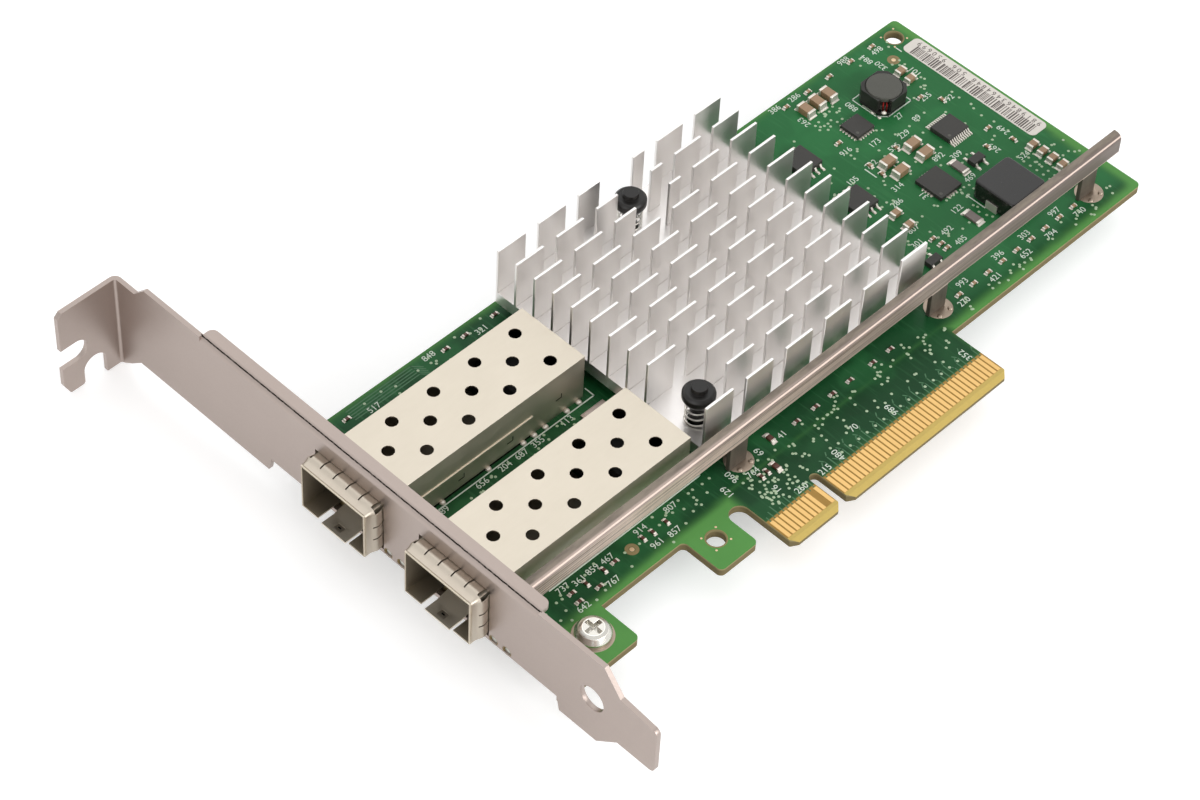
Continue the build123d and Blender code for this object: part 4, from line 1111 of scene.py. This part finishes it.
class CARD_OT_rail(bpy.types.Operator):
    """Dresses the stiffening rail"""
    bl_idname = "card.rail"
    bl_label = "Stiffening rail"

    def execute(self, context):
        dressed("stiffening_rail", "rail_bar", "rail_steel", 0.1 * MM)
        return {"FINISHED"}


# Inductors

class CARD_OT_inductors(bpy.types.Operator):
    """Dresses the drum inductor and the block inductor"""
    bl_idname = "card.inductors"
    bl_label = "Inductors"

    def execute(self, context):
        dressed("drum_inductor_core", "drum_core", "ferrite", 0.12 * MM, 25, 2)
        dressed("drum_inductor_base", "drum_base", "connector_plastic", 0.08 * MM)
        dressed("drum_inductor_shield", "drum_shield", "shield_ferrite", 0.05 * MM, 32, 1)
        wire_end()
        dressed("power_inductor", "block_inductor", "block_epoxy", 0.4 * MM, 32, 4)
        paint("solder_tin", "drum_inductor_terminals", "power_inductor_terminals")
        low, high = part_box("drum_inductor_winding")
        x, y = middle_of(low, high)
        wire = 0.14 * MM
        radius = (high.x - low.x) / 2 - wire
        turns = int((high.z - low.z) / (2 * wire))
        mesh = bmesh.new()
        add_tube(mesh, coil(x, y, radius, low.z + wire, high.z - wire, turns, 30), wire)
        add_turned(mesh, x, y, [(0, low.z), (radius, low.z), (radius, high.z), (0, high.z)], 40)
        piece_from("wound_wire", mesh, "wound_copper", 60, ("drum_inductor_winding",))
        return {"FINISHED"}


def wire_end():
    """The red wire that leaves the winding at the shield's open corner, and its solder."""
    low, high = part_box("drum_inductor_shield")
    x, y = middle_of(low, high)
    out = Vector((-1, -1, 0)).normalized()
    along = Vector((1, -1, 0)).normalized()
    mesh = bmesh.new()
    # Height, distance from the drum's middle and spread of the two strands at start, bend and foot.
    bends = ((high.z - 0.9 * MM, 3.0, 1), (high.z - 1.3 * MM, 3.55, 1.2), (low.z + 0.1 * MM, 3.75, 1))
    for side in (-0.2, 0.35):
        route = [Vector((x, y, z)) + out * reach * MM + along * side * spread * MM
                 for z, reach, spread in bends]
        add_tube(mesh, route, 0.16 * MM)
    piece_from("wire_end", mesh, "enamelled_wire", 50)
    mesh = bmesh.new()
    foot = Vector((x, y, 0)) + out * 3.8 * MM
    add_turned(mesh, foot.x, foot.y, dome(0.5 * MM, 0.45 * MM, low.z - 0.05 * MM), 16)
    for reach in (0.9, 2.6):
        add_turned(mesh, low.x - 0.1 * MM, low.y + reach * MM, dome(0.34 * MM, 0.3 * MM, FACE), 14)
    piece_from("wire_solder", mesh, "solder_tin", 40)


# Chips and chip parts

CHIPS = {
    "power_controller": "square_chip", "power_stage": "driver_chip", "logic_chip": "gull_wing_chip",
    "transistors": "small_outline_chips", "memory_chips": "memory_packages",
}
LEADS = [
    "power_controller_leads", "power_stage_leads", "logic_chip_leads", "transistor_leads",
    "memory_chip_leads",
]
# How far a pad reaches past a lead at its sides and its toe, and how high pads and corner dots are.
PAD_SIDE, PAD_TOE, PAD_RISE = 0.03 * MM, 0.15 * MM, 0.03 * MM
DOT_RISE = 0.008 * MM
# Solder at a lead's toe: how far out it lies, and its radius and height.
TOE_OUT, TOE_SOLDER = 0.18 * MM, (0.17 * MM, 0.2 * MM)


class CARD_OT_chips(bpy.types.Operator):
    """Dresses the chips and solders their leads"""
    bl_idname = "card.chips"
    bl_label = "Chips"

    def execute(self, context):
        _, sizes = settings()
        for node, name in CHIPS.items():
            dressed(node, name, "chip_epoxy", sizes.chip_edge)
        paint("solder_tin", *LEADS)
        mesh = bmesh.new()
        for node in LEADS:
            for low, high in boxes_of(node):
                wide = [PAD_SIDE, PAD_SIDE]
                wide[ends_along(low, high)] = PAD_TOE
                add_box(mesh, (low.x - wide[0], low.y - wide[1], FACE),
                        (high.x + wide[0], high.y + wide[1], FACE + PAD_RISE))
        for node in ("power_controller", "power_stage"):
            chip_low, chip_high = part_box(node)
            for low, high in boxes_of(node + "_leads"):
                x, y = middle_of(low, high)
                if low.x < chip_low.x or high.x > chip_high.x:
                    x = low.x - TOE_OUT if low.x < chip_low.x else high.x + TOE_OUT
                else:
                    y = low.y - TOE_OUT if low.y < chip_low.y else high.y + TOE_OUT
                add_turned(mesh, x, y, dome(*TOE_SOLDER, FACE, 3), 10)
        piece_from("lead_pads", mesh, "solder_tin", 40)
        mesh = bmesh.new()
        for node in ("power_controller", "power_stage", "logic_chip"):
            low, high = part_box(node)
            top = high.z + DOT_RISE
            add_turned(mesh, low.x + 0.8 * MM, low.y + 0.8 * MM,
                       [(0.3 * MM, high.z), (0.28 * MM, top), (0, top)], 20)
        piece_from("chip_corner_dots", mesh, "ferrite")
        dressed("crystal", "crystal_can", "satin_nickel", 0.1 * MM)
        return {"FINISHED"}


def ends_along(low, high):
    """Which way a two-ended part lies: 0 along X, 1 along Y."""
    return 0 if high.x - low.x > high.y - low.y else 1


def add_end(mesh, low, high, axis, side, reach):
    """Adds a metal end cap round one end of a body."""
    start, stop = Vector(low), Vector(high)
    start.z = FACE
    if side < 0:
        stop[axis] = low[axis] + reach
    else:
        start[axis] = high[axis] - reach
    add_box(mesh, start, stop)


def add_fillet(mesh, low, high, axis, side, run, rise):
    """Adds the sloped solder at one end of a part."""
    other = 1 - axis
    wall = high[axis] if side > 0 else low[axis]
    corners = []
    for across in (low[other], high[other]):
        for out, up in ((0, 0), (run, 0), (run * 0.35, rise * 0.35), (0, rise)):
            point = Vector((0, 0, FACE + up))
            point[axis] = wall + side * out
            point[other] = across
            corners.append(mesh.verts.new(point))
    first, second = corners[:4], corners[4:]
    mesh.faces.new(first)
    mesh.faces.new(second[::-1])
    for k in range(4):
        after = (k + 1) % 4
        mesh.faces.new((first[k], second[k], second[after], first[after]))


# A two-ended part's pad: how far it goes under the part and past its sides, and past its end as a share
# of the solder's run.
UNDER_PART, PAST_SIDES, PAST_END = 0.1 * MM, 0.08 * MM, 1.3


def solder_ends(mesh, boxes, run, rise):
    """Adds a pad and sloped solder at both ends of each part."""
    for low, high in boxes:
        axis = ends_along(low, high)
        for side in (-1, 1):
            add_fillet(mesh, low, high, axis, side, run, rise)
            pad_low, pad_high = Vector(low), Vector(high)
            pad_low.z, pad_high.z = FACE, FACE + PAD_RISE
            if side < 0:
                pad_high[axis] = low[axis] + UNDER_PART
                pad_low[axis] = low[axis] - run * PAST_END
            else:
                pad_low[axis] = high[axis] - UNDER_PART
                pad_high[axis] = high[axis] + run * PAST_END
            other = 1 - axis
            pad_low[other] -= PAST_SIDES
            pad_high[other] += PAST_SIDES
            add_box(mesh, pad_low, pad_high)


CHIP_PARTS = {
    "large_capacitors": ("tall_capacitors", "capacitor_ceramic"),
    "medium_capacitors": ("middle_capacitors", "capacitor_ceramic"),
    "large_resistors": ("wide_resistors", "sense_resistor"),
    "fuses": ("flat_fuses", "resistor_glaze"),
}
PART_EDGE = 0.06 * MM
# An end this near to a body is the body's own, and a small part taller than this is a capacitor.
NEAR_END, TALL_PART = 4 * MM, 0.4 * MM
# On a small part, the reach of an end cap and how far the body stays back from its ends and its top.
CAP_REACH, BODY_BACK, BODY_DOWN = 0.25 * MM, 0.05 * MM, 0.02 * MM


class CARD_OT_chip_parts(bpy.types.Operator):
    """Builds capacitors, resistors and fuses with metal ends and solder"""
    bl_idname = "card.chip_parts"
    bl_label = "Chip parts"

    def execute(self, context):
        solder = bmesh.new()
        for node, (name, look) in CHIP_PARTS.items():
            dressed(node, name, look, PART_EDGE)
            ends = node + "_ends"
            dressed(ends, name + "_ends", "solder_tin", PART_EDGE)
            pairs = boxes_of(ends)
            for low, high in boxes_of(node):
                near = [b for b in pairs
                        if (b[0] - low).length < NEAR_END and (b[1] - high).length < NEAR_END]
                if not near:
                    continue
                middle = (low + high) / 2
                near.sort(key=lambda b: ((b[0] + b[1]) / 2 - middle).length)
                whole_low = Vector([min(low[k], *(b[0][k] for b in near[:2])) for k in range(3)])
                whole_high = Vector([max(high[k], *(b[1][k] for b in near[:2])) for k in range(3)])
                solder_ends(solder, [(whole_low, whole_high)], 0.3 * MM, (high.z - low.z) * 0.5)
        small = bmesh.new()
        ends = bmesh.new()
        tan = bmesh.new()
        for k, (low, high) in enumerate(boxes_of("small_parts")):
            axis = ends_along(low, high)
            inner_low, inner_high = Vector(low), Vector(high)
            inner_low[axis] += BODY_BACK
            inner_high[axis] -= BODY_BACK
            inner_high.z -= BODY_DOWN
            inner_low.z = FACE
            add_box(tan if high.z > TALL_PART else small, inner_low, inner_high)
            for side in (-1, 1):
                add_end(ends, low, high, axis, side, CAP_REACH)
        solder_ends(solder, boxes_of("small_parts"), 0.2 * MM, 0.25 * MM)
        for mesh in (small, tan, ends):
            soften(mesh, 0.035 * MM, 32, 1)
        piece_from("small_ends", ends, "solder_tin", 30, ("small_parts",))
        piece_from("small_capacitor_bodies", tan, "capacitor_ceramic", 30)
        if small.faces:
            piece_from("small_resistor_bodies", small, "resistor_glaze", 30)
        piece_from("end_solder", solder, "solder_tin", 20)
        return {"FINISHED"}


# Label

# Across the label the bars run from and to these places, and the figures stand this far in. Along it,
# both start after a margin. Widths, gaps, margins and the figures' pitch are in mm.
BARS_FROM, BARS_TO, FIGURES_IN = 0.4 * MM, 2.45 * MM, 0.95 * MM
MARGIN, END_MARGIN, FIGURE_PITCH = 1.3, 1.5, 1.14
BAR_WIDTHS, BAR_GAPS = (0.12, 0.12, 0.14, 0.22, 0.3), (0.14, 0.18, 0.3)
BAR_RISE = 0.012 * MM
FIGURE_PLACES, BLANK_PLACES = 25, (14, 18)


class CARD_OT_label(bpy.types.Operator):
    """Finishes the label and prints plain bars on it"""
    bl_idname = "card.label"
    bl_label = "Label"

    def execute(self, context):
        paint("label_film", "identification_label")
        low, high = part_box("identification_label")
        draw = random.Random(3)
        mesh = bmesh.new()
        level = (high.z, high.z + BAR_RISE)
        x0, x1 = low.x + BARS_FROM, low.x + BARS_TO
        y = low.y + MARGIN * MM
        while y < high.y - END_MARGIN * MM:
            width = draw.choice(BAR_WIDTHS) * MM
            add_strip(mesh, (x0, y), (x1, y), width, *level)
            y += width + draw.choice(BAR_GAPS) * MM
        piece_from("label_bars", mesh, "dark_ink")
        items = []
        for k in range(FIGURE_PLACES):
            if k not in BLANK_PLACES:
                y = low.y + (MARGIN + FIGURE_PITCH * k) * MM
                items.append((str(draw.randint(0, 9)), high.x - FIGURES_IN, y, 90))
        numerals("label_figures", items, 1.05 * MM, "dark_ink", high.z + FIGURE_DEPTH)
        return {"FINISHED"}


# Studio

SKY_LOW = (0.42, 0.42, 0.42)
SKY_HIGH = (0.88, 0.88, 0.88)
FLOOR_GLOW = (0.45, 0.45, 0.45)
# Lamps: name, place and size in metres, and power in watts.
LAMPS = [
    ("overhead_softbox", (0.35, 0.45, 1.25), (1.3, 1.3), 2.6),
    ("bracket_softbox", (-1.2, -0.2, 0.5), (0.9, 0.9), 4.0),
    ("front_softbox", (0.2, -1.3, 0.7), (1.0, 0.7), 11.0),
]
# The floor runs back and bends up into the backdrop, and lies a hair below the card. All in metres.
FLOOR_GAP = 0.0002
FLOOR_REACH, FLOOR_BACK, FLOOR_BEND, FLOOR_HEIGHT = 6.0, 2.0, 0.8, 4.0
# The camera at the photograph's angle: lens and framing, place in metres and turn in degrees.
CAMERA = {"lens": 106.92, "sensor_width": 36, "shift_x": 0.0004, "shift_y": -0.0376,
          "clip_start": 0.05, "clip_end": 30}
CAMERA_PLACE = (-0.28983, -0.20902, 0.42856)
CAMERA_TURN = (41.7388, -2.1664, -45.3566)


class CARD_OT_studio(bpy.types.Operator):
    """Adds the floor, the soft lights and the camera"""
    bl_idname = "card.studio"
    bl_label = "Studio"

    def execute(self, context):
        colours, sizes = settings()
        scene = context.scene
        scene.view_settings.view_transform = "Standard"
        mesh = bmesh.new()
        low_z = CAD_BOX[0][2] - FLOOR_GAP
        turns = [math.pi / 2 * k / 24 for k in range(25)]
        profile = [(-FLOOR_REACH, 0)]
        profile += [(FLOOR_BACK + FLOOR_BEND * math.sin(a), FLOOR_BEND * (1 - math.cos(a))) for a in turns]
        profile.append((FLOOR_BACK + FLOOR_BEND, FLOOR_HEIGHT))
        turn = Matrix.Rotation(math.radians(45), 4, "Z")
        rows = []
        for x in (-FLOOR_REACH, FLOOR_REACH):
            rows.append([mesh.verts.new(turn @ Vector((x, y, z + low_z))) for y, z in profile])
        for k in range(len(profile) - 1):
            mesh.faces.new((rows[0][k], rows[1][k], rows[1][k + 1], rows[0][k + 1]))
        data = bpy.data.meshes.new("studio_floor")
        mesh.to_mesh(data)
        mesh.free()
        data.shade_smooth()
        floor = linked("studio_floor", data)
        f = Finish("studio_floor", roughness=0.9)
        f.put("Base Color", f.mix(f.noise(3) * 0.1, colours.floor, tint(colours.floor, 0.96)))
        f.put("Emission Color", f.mix(f.seen(), (0, 0, 0), FLOOR_GLOW))
        f.shader.inputs["Emission Strength"].default_value = 1.0
        floor.data.materials.append(f.material)

        world = bpy.data.worlds.new("studio_world")
        scene.world = world
        world.use_nodes = True
        sky = Shading(world.node_tree)
        rise = sky.axes(sky.node("ShaderNodeTexCoord", output="Generated"))[2]
        level = sky.mix(sky.step(rise, -0.1, 0.9), SKY_LOW, SKY_HIGH)
        sky.feed(world.node_tree.nodes["Background"].inputs["Color"], sky.mix(sky.seen(), level, (1, 1, 1)))

        target = Vector(sizes.target)
        for name, place, size, power in LAMPS:
            light = bpy.data.lights.new(name, "AREA")
            light.shape = "RECTANGLE"
            light.size, light.size_y = size
            light.energy = power
            lamp = linked(name, light)
            lamp.location = Vector(place)
            lamp.rotation_euler = (target - lamp.location).to_track_quat("-Z", "Y").to_euler()

        camera = bpy.data.cameras.new("photo_camera")
        for setting, value in CAMERA.items():
            setattr(camera, setting, value)
        scene.camera = linked("photo_camera", camera)
        scene.camera.location = CAMERA_PLACE
        scene.camera.rotation_euler = [math.radians(a) for a in CAMERA_TURN]
        return {"FINISHED"}


class CARD_PT_panel(bpy.types.Panel):
    """Lists the card's operators"""
    bl_label = "Network interface card"
    bl_idname = "CARD_PT_panel"
    bl_space_type = "VIEW_3D"
    bl_region_type = "UI"
    bl_category = "Card"

    def draw(self, context):
        for operator in OPERATORS:
            self.layout.operator(operator.bl_idname)


OPERATORS = [
    CARD_OT_board, CARD_OT_tracks, CARD_OT_lands, CARD_OT_printing, CARD_OT_bracket, CARD_OT_ports,
    CARD_OT_heat_sink, CARD_OT_rail, CARD_OT_inductors, CARD_OT_chips, CARD_OT_chip_parts, CARD_OT_label,
    CARD_OT_studio,
]
CLASSES = [CARD_PG_colours, CARD_PG_sizes, *OPERATORS, CARD_PT_panel]


def register():
    for item in CLASSES:
        bpy.utils.register_class(item)
    bpy.types.Scene.card_colours = PointerProperty(type=CARD_PG_colours)
    bpy.types.Scene.card_sizes = PointerProperty(type=CARD_PG_sizes)


def unregister():
    del bpy.types.Scene.card_sizes
    del bpy.types.Scene.card_colours
    for item in reversed(CLASSES):
        bpy.utils.unregister_class(item)


def main():
    register()
    for operator in OPERATORS:
        group, name = operator.bl_idname.split(".")
        getattr(getattr(bpy.ops, group), name)()


if __name__ == "__main__":
    main()
